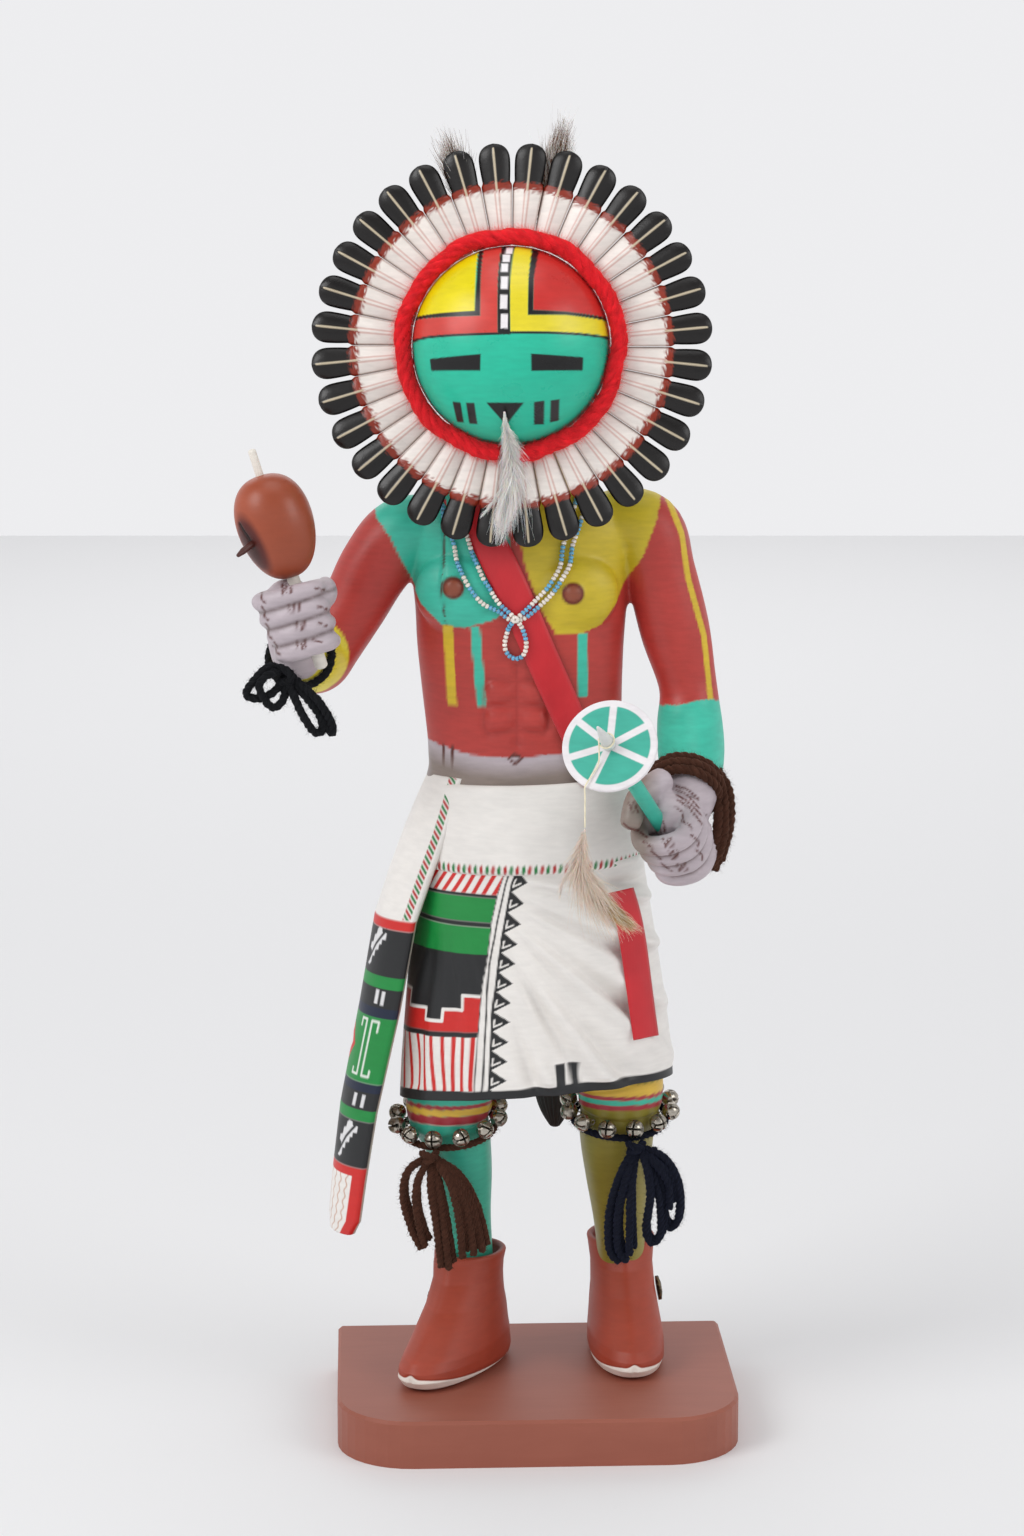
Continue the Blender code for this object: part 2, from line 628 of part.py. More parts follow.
def bead_necklace(surface):
    """One string of seed beads round the neck: two strands that cross and end in a loop."""
    outer = [(-9, 20, 363), (-27, 12, 360), (-33, -6, 354), (-31, -22, 340), (-24, -26, 322),
             (-16, -26, 314), (-8.1, -26, 310.5)]
    drop = [(-4.2, -26, 302), (-8.1, -26, 295), (-12.2, -26, 302)]
    back = [(-8.1, -26, 310.5), (0, -26, 316), (8, -27, 327), (13.5, -24, 340), (16, -6, 354), (9, 12, 360)]
    lift = RIBBON_LIFT + RIBBON_THICKNESS + BEAD_CLEARANCE + BEAD_DIAMETER / 2.0
    rows = laid_path(surface, [at(*p) for p in outer + drop], lift, 2)
    rows += laid_path(surface, [at(*p) for p in back], lift, 2)[1:]
    lifted = []
    for k, row in enumerate(rows):
        share = k / (len(rows) - 1)
        crossing = math.exp(-((share - 0.72) / 0.12) ** 2)
        lifted.append(row + Vector((0, -1, 0)) * BEAD_DIAMETER * 1.2 * crossing)
    radii = [BEAD_DIAMETER / 2.0] * len(lifted)
    tube("bead_necklace", lifted, radii, parts, paint("seed_beads", "BFD6E2", 0.25), resolution=0)


def ribbon(name, route, surface):
    """A length of satin ribbon laid over the carving: x, y, height, width direction."""
    rows = smooth_rows([(x, y, z, *side) for x, y, z, side in route], 2)
    work = bmesh.new()
    strips = []
    for row in rows:
        middle, side = at(*row[:3]), Vector(row[3:]).normalized()
        strip = []
        for share in (-0.5, 0.0, 0.5):
            place = laid_on(surface, middle + side * RIBBON_WIDTH * share, RIBBON_LIFT)
            strip.append(work.verts.new(place))
        strips.append(strip)
    for a, b in zip(strips, strips[1:]):
        for i in range(2):
            work.faces.new((a[i], a[i + 1], b[i + 1], b[i]))
    mesh = bpy.data.meshes.new(name)
    work.to_mesh(mesh)
    work.free()
    item = add_object(name, mesh, parts, paint("red_satin", "C4101F", 0.35))
    thick = item.modifiers.new("cloth", "SOLIDIFY")
    thick.thickness = RIBBON_THICKNESS
    thick.offset = 1.0
    thick.use_even_offset = False
    return item


def ribbons(surface):
    """The bandolier goes in behind the sash on both sides; its two tails come out below."""
    ribbon("ribbon_bandolier", (
        (26.5, -28, 250.5, (1, 0.3, 0.5)), (15, -26, 270, (0.9, 0, 0.42)), (2, -28, 297, (0.9, 0, 0.42)),
        (-9, -28, 322, (0.9, 0, 0.42)), (-19, -22, 342, (0.9, 0, 0.4)), (-29, -12, 356, (0.95, 0, 0)),
        (-33, 2, 359, (1, 0, -0.4)), (-29, 15, 357, (1, 0, -0.2)), (-25.5, 21, 352.5, (1, 0, 0)),
        (-14, 29, 336, (0.9, 0, 0.35)), (2, 28, 305, (0.9, 0, 0.42)), (17, 27, 275, (0.9, 0, 0.42)),
        (30, 26, 251, (0.9, -0.3, 0.42))), surface)
    ribbon("ribbon_tail_front", (
        (35.8, -28, 209.5, (1, 0.5, 0)), (39, -26, 190, (1, 0.4, 0)), (42, -26, 165, (1, 0.35, 0)),
        (43.5, -26, 146, (1, 0.35, 0))), surface)
    ribbon("ribbon_tail_rear", (
        (42.3, 20, 209.5, (0.7, -0.7, 0)), (45, 18, 190, (0.7, -0.7, 0)), (50, 17, 168, (0.7, -0.7, 0)),
        (53.5, 16, 148, (0.7, -0.7, 0))), surface)


def rattle():
    """A gourd on a stick that runs right through it and through the fist, with a dark peg."""
    stick = STICK_DIAMETER / 2.0
    top = stick * 0.62
    end = STICK_TOP + STICK_AIM * STICK_LENGTH
    wood = paint("white_stick", "E9E4DC", 0.6)
    tube("rattle_handle", [STICK_TOP, STICK_TOP.lerp(end, 0.16), STICK_TOP.lerp(end, 0.62), end],
         [top, top, stick, stick], parts, wood, resolution=4)
    centre = STICK_TOP + STICK_AIM * (9.5 * UNIT + GOURD_LENGTH / 2.0)
    bore = stick + GAP
    profile = []
    steps = 8
    for k in range(steps + 1):
        angle = math.pi * k / steps
        swell = 1.0 + 0.10 * math.cos(angle + 2.6)
        radius = max(bore, GOURD_RADIUS * swell * math.sin(angle) ** 0.85)
        profile.append((radius, -math.cos(angle) * GOURD_LENGTH / 2.0))
    profile.reverse()
    profile.append(profile[0])
    skin = paint("brown_gourd", "A04A2C", 0.4)
    gourd = turned("rattle_gourd", profile, 14, centre, STICK_AIM * -1.0, parts, skin)
    aim = Vector((-0.62, -0.72, -0.42)).normalized()
    surface = surface_of(gourd)
    hit = surface.ray_cast(centre + aim * 0.05, aim * -1.0)[0]
    root = hit - aim * PEG_SOCKET
    tip = root + aim * PEG_LENGTH
    radius = PEG_DIAMETER / 2.0
    socket = tube("peg_socket", [root - aim * GAP, tip], [radius + GAP] * 2, cutters, resolution=2)
    cut = gourd.modifiers.new("socket", "BOOLEAN")
    cut.operation = "DIFFERENCE"
    cut.solver = "EXACT"
    cut.object = socket
    knots = [root, root.lerp(tip, 0.7), tip]
    dark = paint("dark_peg", "3A140E", 0.5)
    tube("rattle_peg", knots, [radius, radius * 0.9, radius * 0.35], parts, dark, resolution=2)


def wand():
    """A teal rod through the left fist, with a spoked disc and a white cone pinned on its end."""
    rod_start = WAND_TOP + WAND_AIM * (DISC_THICKNESS / 2.0 + ROD_DIAMETER * 0.22 + GAP)
    rod_end = WAND_TOP + WAND_AIM * ROD_LENGTH
    radius = ROD_DIAMETER / 2.0
    knots = [rod_start, rod_end - WAND_AIM * 0.006, rod_end]
    teal = paint("teal_rod", "3CC2A2", 0.5)
    tube("wand_rod", knots, [radius, radius, radius * 0.55], parts, teal, resolution=4)
    normal = Vector((-0.196, -0.853, 0.483)).normalized()
    half = DISC_THICKNESS / 2.0
    rim = DISC_RADIUS
    profile = [(0.0, half), (rim * 0.98, half), (rim, half * 0.4), (rim, -half), (0.0, -half)]
    turned("wand_disc", profile, 24, WAND_TOP, normal, parts, paint("painted_disc", "3CC2A2", 0.5))
    foot = WAND_TOP + normal * (half + GAP)
    cone = CONE_DIAMETER / 2.0
    aim = (normal + Vector((-0.25, -0.25, 0.35))).normalized()
    profile = [(0.0, CONE_LENGTH), (cone * 0.30, CONE_LENGTH * 0.93), (cone * 0.8, CONE_LENGTH * 0.45),
               (cone, CONE_LENGTH * 0.12), (cone * 0.8, 0.0), (0.0, 0.0)]
    seat = foot + normal * cone * 0.36
    turned("wand_cone", profile, 8, seat, aim, parts, paint("white_cone", "E9EAE6", 0.5))
    return foot, normal, aim


def evenly(points, gap):
    """The same route with a point about every gap along it."""
    route = [points[0]]
    for start, end in zip(points, points[1:]):
        count = max(1, round((end - start).length / gap))
        for k in range(1, count + 1):
            route.append(start.lerp(end, k / count))
    return route


def wand_string(foot, normal, aim):
    """A cotton string, once round the cone's foot and down to the feather."""
    radius = STRING_DIAMETER / 2.0
    turn_radius = CONE_DIAMETER / 2.0 + GAP + radius
    height = CONE_DIAMETER * 0.30 + STRING_DIAMETER * 2.0
    side, up = frame_along(aim, Vector((1, 0, 0)))
    points = []
    for k in range(13):
        angle = math.radians(200.0 + 30.0 * k)
        lift = height + STRING_DIAMETER * 1.5 * k / 12.0
        wrapped = side * math.cos(angle) + up * math.sin(angle)
        points.append(foot + normal * CONE_DIAMETER * 0.18 + wrapped * turn_radius + aim * lift)
    downhill = Vector((-0.38, 0.0, -0.92))
    downhill = (downhill - normal * downhill.dot(normal)).normalized()
    for share in (0.45, 0.75, 1.02):
        points.append(foot + downhill * DISC_RADIUS * share + normal * (radius + GAP))
    for drop in (3.0, 7.5, 12.0, 15.0):
        points.append(points[15] + Vector((0.0, -0.4, -drop)) * UNIT)
    points = evenly(points, STRING_DIAMETER * 2.5)
    tube("wand_string", points, [radius] * len(points), parts, paint("cotton_string", "E8DEC4", 0.9))
    return points[-1]


def wand_feather(top):
    """Beige down that hangs from the string and ends in one curled barb."""
    start = top + Vector((0, 0, -GAP - 0.0006))
    offsets = ((0, 0, 0), (-1.0, 0, -6), (-1.2, 0.4, -13), (1.5, 0.8, -20), (7.0, 1.2, -27),
               (12.5, 1.6, -32))
    spine = [start + Vector(offset) * UNIT for offset in offsets]
    widths = [width * UNIT for width in (1.2, 7.0, 10.0, 8.0, 6.5, 1.6)]
    down = paint("beige_down", "D9BFA8", 0.9)
    feather("wand_feather", spine, widths, 0.0026, Vector((0, -1, 0)), down)


def ring_points(centre, axis, radius, count):
    """Points evenly round a circle that is square to an axis."""
    side, up = frame_along(axis, Vector((1, 0, 0)))
    angles = [math.tau * k / count for k in range(count)]
    return [centre + (side * math.cos(a) + up * math.sin(a)) * radius for a in angles]


def strand(name, points, radius, closed=False):
    """One length of yarn, a tube that is to be fused with others."""
    return tube(name, points, [radius] * len(points), cutters, resolution=0, closed=closed)


KNEES = {  # middle and tilt of each knee yarn
    "right": (at(-34.6, 3.2, 101.4), Vector((-0.08, -0.20, 1.0))),
    "left": (at(34.0, 7.0, 104.6), Vector((0.0, -0.22, 1.0)))}


def knee_yarns():
    """A yarn tied below the knee with its ends and loops hanging; the bells sit on it."""
    colours = {"right": ("knee_yarn_brown", paint("brown_wool", "3A1D14", 0.95)),
               "left": ("knee_yarn_navy", paint("navy_wool", "101014", 0.95))}
    strands = {
        "right": (((-42, -16.6, 94.8), (-52, -21, 88), (-53, -20, 74), (-45, -18, 57)),
                  ((-42, -19, 93), (-45, -22, 80), (-38, -18, 48)),
                  ((-41, -19, 94), (-34, -22, 84), (-23, -18, 51)),
                  ((-42, -19, 93), (-38, -23, 78), (-31, -19, 51))),
        "left": (((40, -13.2, 97.6), (31, -17, 87), (27, -15, 68), (32, -13, 50)),
                 ((40, -15, 95), (37, -18, 82), (35, -15, 52)),
                 ((41, -15, 96), (50, -16, 91), (52, -14, 74), (47, -13, 58)),
                 ((42, -14, 97), (55, -14, 92), (59, -12, 76), (52, -11, 62)))}
    for side, (centre, axis) in KNEES.items():
        name, wool = colours[side]
        half = KNEE_YARN_DIAMETER / 2.0
        ring = KNEE_RADIUS + GAP + half
        bodies = [strand(name + "_ring", ring_points(centre, axis, ring, 16), half, closed=True)]
        knot = at(*strands[side][0][0])
        bodies.append(lump(name + "_knot", knot, [r * UNIT for r in (4.6, 4.2, 3.4)], cutters, 8, 6))
        for path in strands[side]:
            bodies.append(strand(name + "_strand", [at(*p) for p in path], STRAND_DIAMETER / 2.0))
        union_of(name, bodies, wool)


def bells():
    """Small round bells, side by side on each knee yarn."""
    nickel = paint("nickel_bell", "9C9790", 0.25, 1.0)
    radius = BELL_DIAMETER / 2.0
    yarn = KNEE_YARN_DIAMETER / 2.0
    for side, (centre, axis) in KNEES.items():
        axis = axis.normalized()
        right, up = frame_along(axis, Vector((1, 0, 0)))
        ring = KNEE_RADIUS + GAP * 2.0 + radius
        inward = ring - (KNEE_RADIUS + GAP + yarn)
        lift = math.sqrt((radius + yarn + GAP * 1.5) ** 2 - inward ** 2)
        for k in range(BELL_COUNT):
            angle = math.tau * (k + 0.5) / BELL_COUNT
            place = centre + right * math.cos(angle) * ring + up * math.sin(angle) * ring + axis * lift
            name = "bell_%s_%02d" % (side, k + 1)
            waist, shoulder = radius * math.sin(math.radians(60)), radius / 2.0
            profile = [(0.0, radius), (waist, shoulder), (waist, -shoulder), (0.0, -radius)]
            turned(name, profile, 6, place, axis, parts, nickel)


def wrist_yarns():
    """Black yarn with a loose bow on the right wrist, brown yarn wound round the left one."""
    half = WRIST_STRAND_DIAMETER / 2.0
    name = "wrist_yarn_black"
    axis = at(*RIGHT_ARM[-1][:3]) - at(*RIGHT_ARM[-3][:3])
    centre = at(-90.6, -27.0, 297.2)
    loop = ring_points(centre, axis, RIGHT_WRIST_RADIUS + half, 12)
    bodies = [strand(name + "_ring", loop, half, closed=True)]
    loops = (((-92, -25, 282.8), (-94, -44, 286.5), (-95.5, -58, 296)),
             ((-95, -55, 295), (-103, -60, 296), (-108, -62, 291), (-100, -61, 288)),
             ((-95, -56, 295), (-99, -61, 291), (-101, -62, 285)),
             ((-95, -57, 295), (-92, -60, 287), (-84, -58, 273)),
             ((-95, -56, 295), (-87, -59, 286), (-80.5, -57, 273)))
    for path in loops:
        bodies.append(strand(name + "_loop", [at(*p) for p in path], half))
    union_of(name, bodies, paint("black_wool", "14140F", 0.95))
    name = "wrist_yarn_brown"
    axis = at(*LEFT_ARM[-1][:3]) - at(*LEFT_ARM[-3][:3])
    centre = at(60.8, -23.2, 252.4)
    thick = half * 1.5
    loop = ring_points(centre, axis, LEFT_WRIST_RADIUS + thick, 14)
    bodies = [strand(name + "_ring", loop, thick, closed=True)]
    for path in (((77, -20, 258), (80, -23, 247), (80, -27, 231), (75, -30, 217)),
                 ((77, -22, 254), (78, -26, 240), (76, -29, 227), (71.5, -33, 216))):
        bodies.append(strand(name + "_end", [at(*p) for p in path], half * 1.4))
    union_of(name, bodies, paint("brown_wrist_wool", "3A1D14", 0.95))


def conchos(surface):
    """A bronze button on the outer side of each moccasin."""
    bronze = paint("dark_bronze", "4A3F33", 0.4, 1.0)
    for side, sign in (("left", 1.0), ("right", -1.0)):
        heel, toe = (Vector((*p, 0.0)) for p in FEET[side])
        heading = (toe - heel).normalized()
        outward = Vector((-heading.y, heading.x, 0.0)) * sign
        if outward.x * sign < 0:
            outward = -outward
        middle = at(*(heel + heading * 24.0).xy, 24.0)
        hit, normal, _, _ = surface.ray_cast(middle + outward * 40.0 * UNIT, outward * -1.0)
        radius, thick = CONCHO_DIAMETER / 2.0, CONCHO_THICKNESS
        lift = GAP + radius * radius / (2.0 * 0.026)
        profile = [(0.0, lift + thick), (radius * 0.6, lift + thick * 0.8), (radius, lift + thick * 0.35),
                   (radius, lift), (0.0, lift)]
        turned("concho_" + side, profile, 14, hit, normal, parts, bronze)


base()
figure = carved_figure()
feather_halo()
face_yarn()
chin_feather()
crest_feathers()
carving = surface_of(figure)
bead_necklace(carving)
ribbons(carving)
rattle()
cone_foot, disc_normal, cone_aim = wand()
string_end = wand_string(cone_foot, disc_normal, cone_aim)
wand_feather(string_end)
wrist_yarns()
knee_yarns()
bells()
conchos(carving)
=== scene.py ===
"""The looks of a carved and painted wooden kachina doll of the sun type, on its board.

Sizes are millimetres until a mesh is made; MM turns them to metres. The doll faces -Y, its
own right hand is at -X, and z is measured from the underside of the board.
"""

import math

import bmesh
import bpy
import numpy as np
from mathutils import Matrix, Vector
from mathutils.bvhtree import BVHTree


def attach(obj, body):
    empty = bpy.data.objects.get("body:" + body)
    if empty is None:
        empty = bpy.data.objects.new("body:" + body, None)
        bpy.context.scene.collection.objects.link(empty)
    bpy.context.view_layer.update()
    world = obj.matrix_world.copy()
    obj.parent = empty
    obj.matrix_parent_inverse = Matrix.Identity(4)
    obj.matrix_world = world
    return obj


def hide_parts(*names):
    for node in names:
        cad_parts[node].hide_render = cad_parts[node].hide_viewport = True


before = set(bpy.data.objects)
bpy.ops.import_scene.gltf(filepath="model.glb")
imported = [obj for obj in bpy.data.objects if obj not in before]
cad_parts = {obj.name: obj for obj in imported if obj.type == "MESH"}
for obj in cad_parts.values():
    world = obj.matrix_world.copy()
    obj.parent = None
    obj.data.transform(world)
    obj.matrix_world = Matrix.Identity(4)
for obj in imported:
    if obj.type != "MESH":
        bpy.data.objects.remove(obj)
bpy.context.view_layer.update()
MM = 0.001

# ---- Stage: a pale floor against a pale sky that is dimmer overhead, soft light from large panels
# at both sides, above and behind, and the camera where the photograph was taken.
CAMERA_PLACE = (-0.0093, -1.4042, 0.5279)
CAMERA_DOWN = 10.5
CAMERA_LENS = 85.0
CAMERA_SENSOR = 36.0
PICTURE = (1024.0, 1536.0)
FLOOR_HEX = "EDEDEE"
bpy.context.scene.view_settings.view_transform = "Standard"


def linear(hex_colour):
    """An sRGB hex value as linear red, green and blue."""
    channels = np.array([int(hex_colour[i:i + 2], 16) / 255.0 for i in (0, 2, 4)])
    return np.where(channels <= 0.04045, channels / 12.92, ((channels + 0.055) / 1.055) ** 2.4)


def add_node(tree, kind, feeds=None, **settings):
    """Adds a node, sets its properties and feeds its sockets with values or other sockets."""
    made = tree.nodes.new(kind)
    for name, value in settings.items():
        setattr(made, name, value)
    for socket, value in (feeds or {}).items():
        if isinstance(value, bpy.types.NodeSocket):
            tree.links.new(value, made.inputs[socket])
        else:
            made.inputs[socket].default_value = value
    return made


def bump_from(tree, shader, height, strength, distance):
    """Feeds the shader's normal with a bump of the given strength and depth in metres."""
    bump = add_node(tree, "ShaderNodeBump", {"Height": height, "Strength": strength, "Distance": distance})
    tree.links.new(bump.outputs[0], shader.inputs["Normal"])


def new_material(name):
    """An empty material with its Principled shader, ready for a piece's own nodes."""
    material = bpy.data.materials.new(name)
    material.use_nodes = True
    return material, material.node_tree, material.node_tree.nodes["Principled BSDF"]


bpy.ops.object.select_all(action="DESELECT")
bpy.ops.mesh.primitive_plane_add(size=6.0, location=(0.0, 0.0, 0.0))
floor = bpy.context.object
floor.name = "studio_floor"
floor_paper, tree, shader = new_material("matt_studio_paper")
shader.inputs["Base Color"].default_value = (*linear(FLOOR_HEX), 1.0)
shader.inputs["Roughness"].default_value = 0.9
paper_grain = add_node(tree, "ShaderNodeTexNoise", {"Scale": 900.0, "Detail": 2.0})
bump_from(tree, shader, paper_grain.outputs[0], 0.03, 0.0005)
floor.data.materials.append(floor_paper)

bpy.ops.object.camera_add(location=CAMERA_PLACE,
                          rotation=(math.radians(90.0 - CAMERA_DOWN), 0.0, 0.0))
camera = bpy.context.object
camera.data.lens = CAMERA_LENS
camera.data.clip_end = 20.0
bpy.context.scene.camera = camera

for name, place, size, power in (("left_panel", (-1.3, -0.9, 1.35), 0.9, 13.5),
                                 ("right_panel", (1.35, -0.8, 1.1), 0.9, 6.0),
                                 ("top_panel", (0.0, -0.2, 1.9), 1.0, 5.0),
                                 ("back_panel", (0.0, 2.3, 1.5), 2.4, 17.0)):
    bpy.ops.object.light_add(type="AREA", location=place)
    panel = bpy.context.object
    panel.name = name
    panel.data.size = size
    panel.data.energy = power
    aim = Vector((0.0, 0.0 if place[1] < 1.0 else place[1], 0.28)) - Vector(place)
    panel.rotation_euler = aim.to_track_quat("-Z", "Y").to_euler()
world = bpy.data.worlds.new("pale_studio")
world.use_nodes = True
sky = world.node_tree
towards = add_node(sky, "ShaderNodeNewGeometry").outputs["Incoming"]
upward = add_node(sky, "ShaderNodeSeparateXYZ", {"Vector": towards})
overhead = add_node(sky, "ShaderNodeMath", {0: upward.outputs["Z"]}, operation="ABSOLUTE")
strength = add_node(sky, "ShaderNodeMapRange", {"Value": overhead.outputs[0], "From Min": 0.25,
                                                "From Max": 0.7, "To Min": 0.94, "To Max": 0.42})
sky.nodes["Background"].inputs["Color"].default_value = (*linear("F4F4F6"), 1.0)
sky.links.new(strength.outputs[0], sky.nodes["Background"].inputs["Strength"])
bpy.context.scene.world = world

# ---- Board: planed pine, square behind and with two round corners in front, brushed with a
# red-brown stain that lets a little of the grain through. Its CAD solid is shown as it is.
BOARD_TOP = 19.3
board_stain, tree, shader = new_material("stained_pine_board")
where = add_node(tree, "ShaderNodeTexCoord").outputs["Object"]
along = add_node(tree, "ShaderNodeMapping", {"Vector": where, "Scale": (1.0, 6.0, 6.0)})
grain = add_node(tree, "ShaderNodeTexNoise", {"Vector": along.outputs[0], "Scale": 22.0, "Detail": 8.0,
                                               "Roughness": 0.62, "Distortion": 0.8})
patchy = add_node(tree, "ShaderNodeTexNoise", {"Vector": where, "Scale": 17.0, "Detail": 3.0})
shade = add_node(tree, "ShaderNodeMath", {0: grain.outputs[0], 1: patchy.outputs[0]},
                 operation="MULTIPLY")
stain = add_node(tree, "ShaderNodeValToRGB", {"Fac": shade.outputs[0]})
for element, (position, colour) in zip(stain.color_ramp.elements, ((0.10, "93503E"), (0.5, "9F5A47"))):
    element.position = position
    element.color = (*linear(colour), 1.0)
tree.links.new(stain.outputs[0], shader.inputs["Base Color"])
shader.inputs["Roughness"].default_value = 0.5
bump_from(tree, shader, grain.outputs[0], 0.12, 0.0004)
board = bpy.data.objects["base"]
board.data.materials.clear()
board.data.materials.append(board_stain)

# ---- Torso, arms and hands: cottonwood root, carved in one with the hands and rubbed smooth,
# primed and painted in water-based colours. The masses are joined, remeshed and smoothed.
SKIN_VOXEL = 1.0
BODY_RED = "B53B34"
PATCH_TEAL = "3DBDA4"
PATCH_MUSTARD = "CDB52A"
CHEST_YELLOW = "D9B82A"
ELBOW_YELLOW = "E0CF3A"
HAND_GREY = "B9ADB3"
NIPPLE_BROWN = "8E4A34"
STROKE_BROWN = "5A2A24"
FINGER_GROOVE_SHADE = "5C4845"
BELLY_CREASE_SHADE = "9C302A"
CRACK_BROWN = "4A1A16"
NIPPLE_RIM = "6E2A1E"
WAIST_SHADE = "8A7C74"
TORSO = (  # z, centre x, half width, front, back
    (257.0, -3.6, 0.1, 0.1, 0.1), (257.0, -3.6, 37.0, 24.0, 24.2), (270, -4.0, 38.0, 23.2, 24.0),
    (281.3, -4.4, 38.2, 22.0, 23.5), (299.3, -5.4, 39.2, 22.0, 24.0), (317.3, -6.0, 40.4, 22.5, 25.5),
    (333.3, -5.8, 41.4, 22.5, 27.0), (347.3, -6.0, 43.0, 21.5, 27.0), (361.3, -6.6, 45.0, 20.0, 26.0),
    (372.3, -7.0, 39.0, 18.5, 23.5), (380.3, -7.4, 26.0, 17.5, 19.0), (388.3, -7.8, 18.5, 18.0, 14.0),
    (407.3, -8.6, 17.0, 22.0, 8.0), (407.3, -8.6, 0.1, 0.1, 0.1))
RIGHT_ARM = (  # x, y, z, radius
    (-34, 1, 362.3, 12.0), (-51, 1, 360.3, 14.6), (-62, 0, 348.3, 14.2), (-71, -1, 332.3, 13.0),
    (-80, -3, 318.3, 12.6), (-85, -7, 312.3, 13.2), (-88, -18, 313.3, 12.2), (-91.5, -30, 317.8, 10.0),
    (-93, -44, 325.3, 9.0))
LEFT_ARM = (
    (26, 1, 366.3, 11.0), (42, 1, 362.3, 14.8), (48.5, 0, 345.3, 13.8), (54.5, -1, 322.3, 13.6),
    (59.5, -2, 301.3, 11.4), (60.2, -6, 287.3, 12.8), (60.4, -16, 276.3, 13.0), (60.0, -30, 266.3, 11.0),
    (57.5, -41, 259.3, 9.5))
STICK_TOP = Vector((-106.5, -50.0, 397.3))
STICK_AIM = (Vector((-82.6, -53.0, 321.3)) - STICK_TOP).normalized()
WAND_TOP = Vector((26.6, -95.0, 293.4))
WAND_AIM = Vector((0.3399, 0.7018, -0.6261)).normalized()
# What a hand is closed round: start and direction of the stick, first finger, finger pitch, size.
RIGHT_GRIP = (STICK_TOP, STICK_AIM, 54.7, 7.0, 0.95)
LEFT_GRIP = (WAND_TOP, WAND_AIM, 58.8, 8.2, 0.9)


def smooth_line(knots, count):
    """A smooth curve through rows of numbers, cut into count rows of even spacing."""
    rows = np.array(knots, dtype=float)
    ends = np.vstack([rows[0], rows, rows[-1]])
    fine = []
    for a, b, c, d in zip(ends, ends[1:], ends[2:], ends[3:]):
        t = np.linspace(0.0, 1.0, 16, endpoint=False)[:, None]
        fine.append(0.5 * (2 * b + (c - a) * t + (2 * a - 5 * b + 4 * c - d) * t ** 2
                           + (3 * b - a - 3 * c + d) * t ** 3))
    fine = np.vstack(fine + [rows[-1:]])
    steps = np.linalg.norm(np.diff(fine[:, :3], axis=0), axis=1)
    reach = np.concatenate([[0.0], np.cumsum(steps)])
    wanted = np.linspace(0.0, reach[-1], count)
    return np.column_stack([np.interp(wanted, reach, fine[:, k]) for k in range(rows.shape[1])])


def frames_on(line, hint=(1.0, 0.2, 0.1)):
    """Two directions square to a line at each of its points, turning as little as they can."""
    ahead = np.gradient(line, axis=0)
    ahead /= np.linalg.norm(ahead, axis=1)[:, None]
    side = np.array(hint, dtype=float)
    sides = []
    for direction in ahead:
        side = side - direction * side.dot(direction)
        side /= np.linalg.norm(side)
        sides.append(side)
    sides = np.array(sides)
    return sides, np.cross(ahead, sides), ahead


def rod_grid(line, radii, columns, flat=1.0):
    """Rows of points round a line: a rod, limb or strand with its two ends drawn shut."""
    side, up, ahead = frames_on(line)
    radii = np.broadcast_to(np.asarray(radii, dtype=float), len(line))
    angle = np.linspace(0.0, math.tau, columns + 1)[:-1]
    ring = (side[:, None, :] * np.cos(angle)[None, :, None]
            + up[:, None, :] * np.sin(angle)[None, :, None] * flat)
    grid = line[:, None, :] + ring * radii[:, None, None]
    caps = []
    for end, sign in ((0, -1.0), (-1, 1.0)):
        bulge = radii[end] * 0.55
        caps.append([line[end] + ahead[end] * sign * bulge * lift + (grid[end] - line[end]) * share
                     for share, lift in ((0.8, 0.55), (0.45, 0.9), (0.0, 1.0))])
    return np.concatenate([np.array(caps[0])[::-1], grid, np.array(caps[1])])


def skin(name, grid, colours=None, closed=True):
    """Bends a grid primitive into rows of points in millimetres, closes its seam and paints it."""
    rows, columns = grid.shape[:2]
    if closed:
        grid = np.concatenate([grid, grid[:, :1]], axis=1)
    bpy.ops.object.select_all(action="DESELECT")
    bpy.ops.mesh.primitive_grid_add(x_subdivisions=grid.shape[1] - 1, y_subdivisions=rows - 1, size=1.0)
    item = bpy.context.object
    item.name = name
    mesh = item.data
    flat = np.empty(len(mesh.vertices) * 3)
    mesh.vertices.foreach_get("co", flat)
    flat = flat.reshape(-1, 3) + 0.5
    column = np.rint(flat[:, 0] * (grid.shape[1] - 1)).astype(int)
    row = np.rint(flat[:, 1] * (rows - 1)).astype(int)
    mesh.vertices.foreach_set("co", (grid[row, column] * MM).ravel())
    if colours is not None:
        spread_paint(mesh, colours[row, column % columns])
    while mesh.uv_layers:
        mesh.uv_layers.remove(mesh.uv_layers[0])
    tidy(item)
    return item


def spread_paint(mesh, colours, name="paint"):
    """Stores one linear colour for each point."""
    layer = mesh.color_attributes.new(name, "FLOAT_COLOR", "POINT")
    full = np.ones((len(mesh.vertices), 4))
    full[:, :3] = colours
    layer.data.foreach_set("color", full.ravel())


def tidy(item):
    """Merges doubles, points the faces outwards and shades them smooth."""
    work = bmesh.new()
    work.from_mesh(item.data)
    bmesh.ops.remove_doubles(work, verts=work.verts, dist=2e-6)
    bmesh.ops.dissolve_degenerate(work, edges=work.edges, dist=1e-7)
    bmesh.ops.recalc_face_normals(work, faces=work.faces)
    for face in work.faces:
        face.smooth = True
    work.to_mesh(item.data)
    work.free()


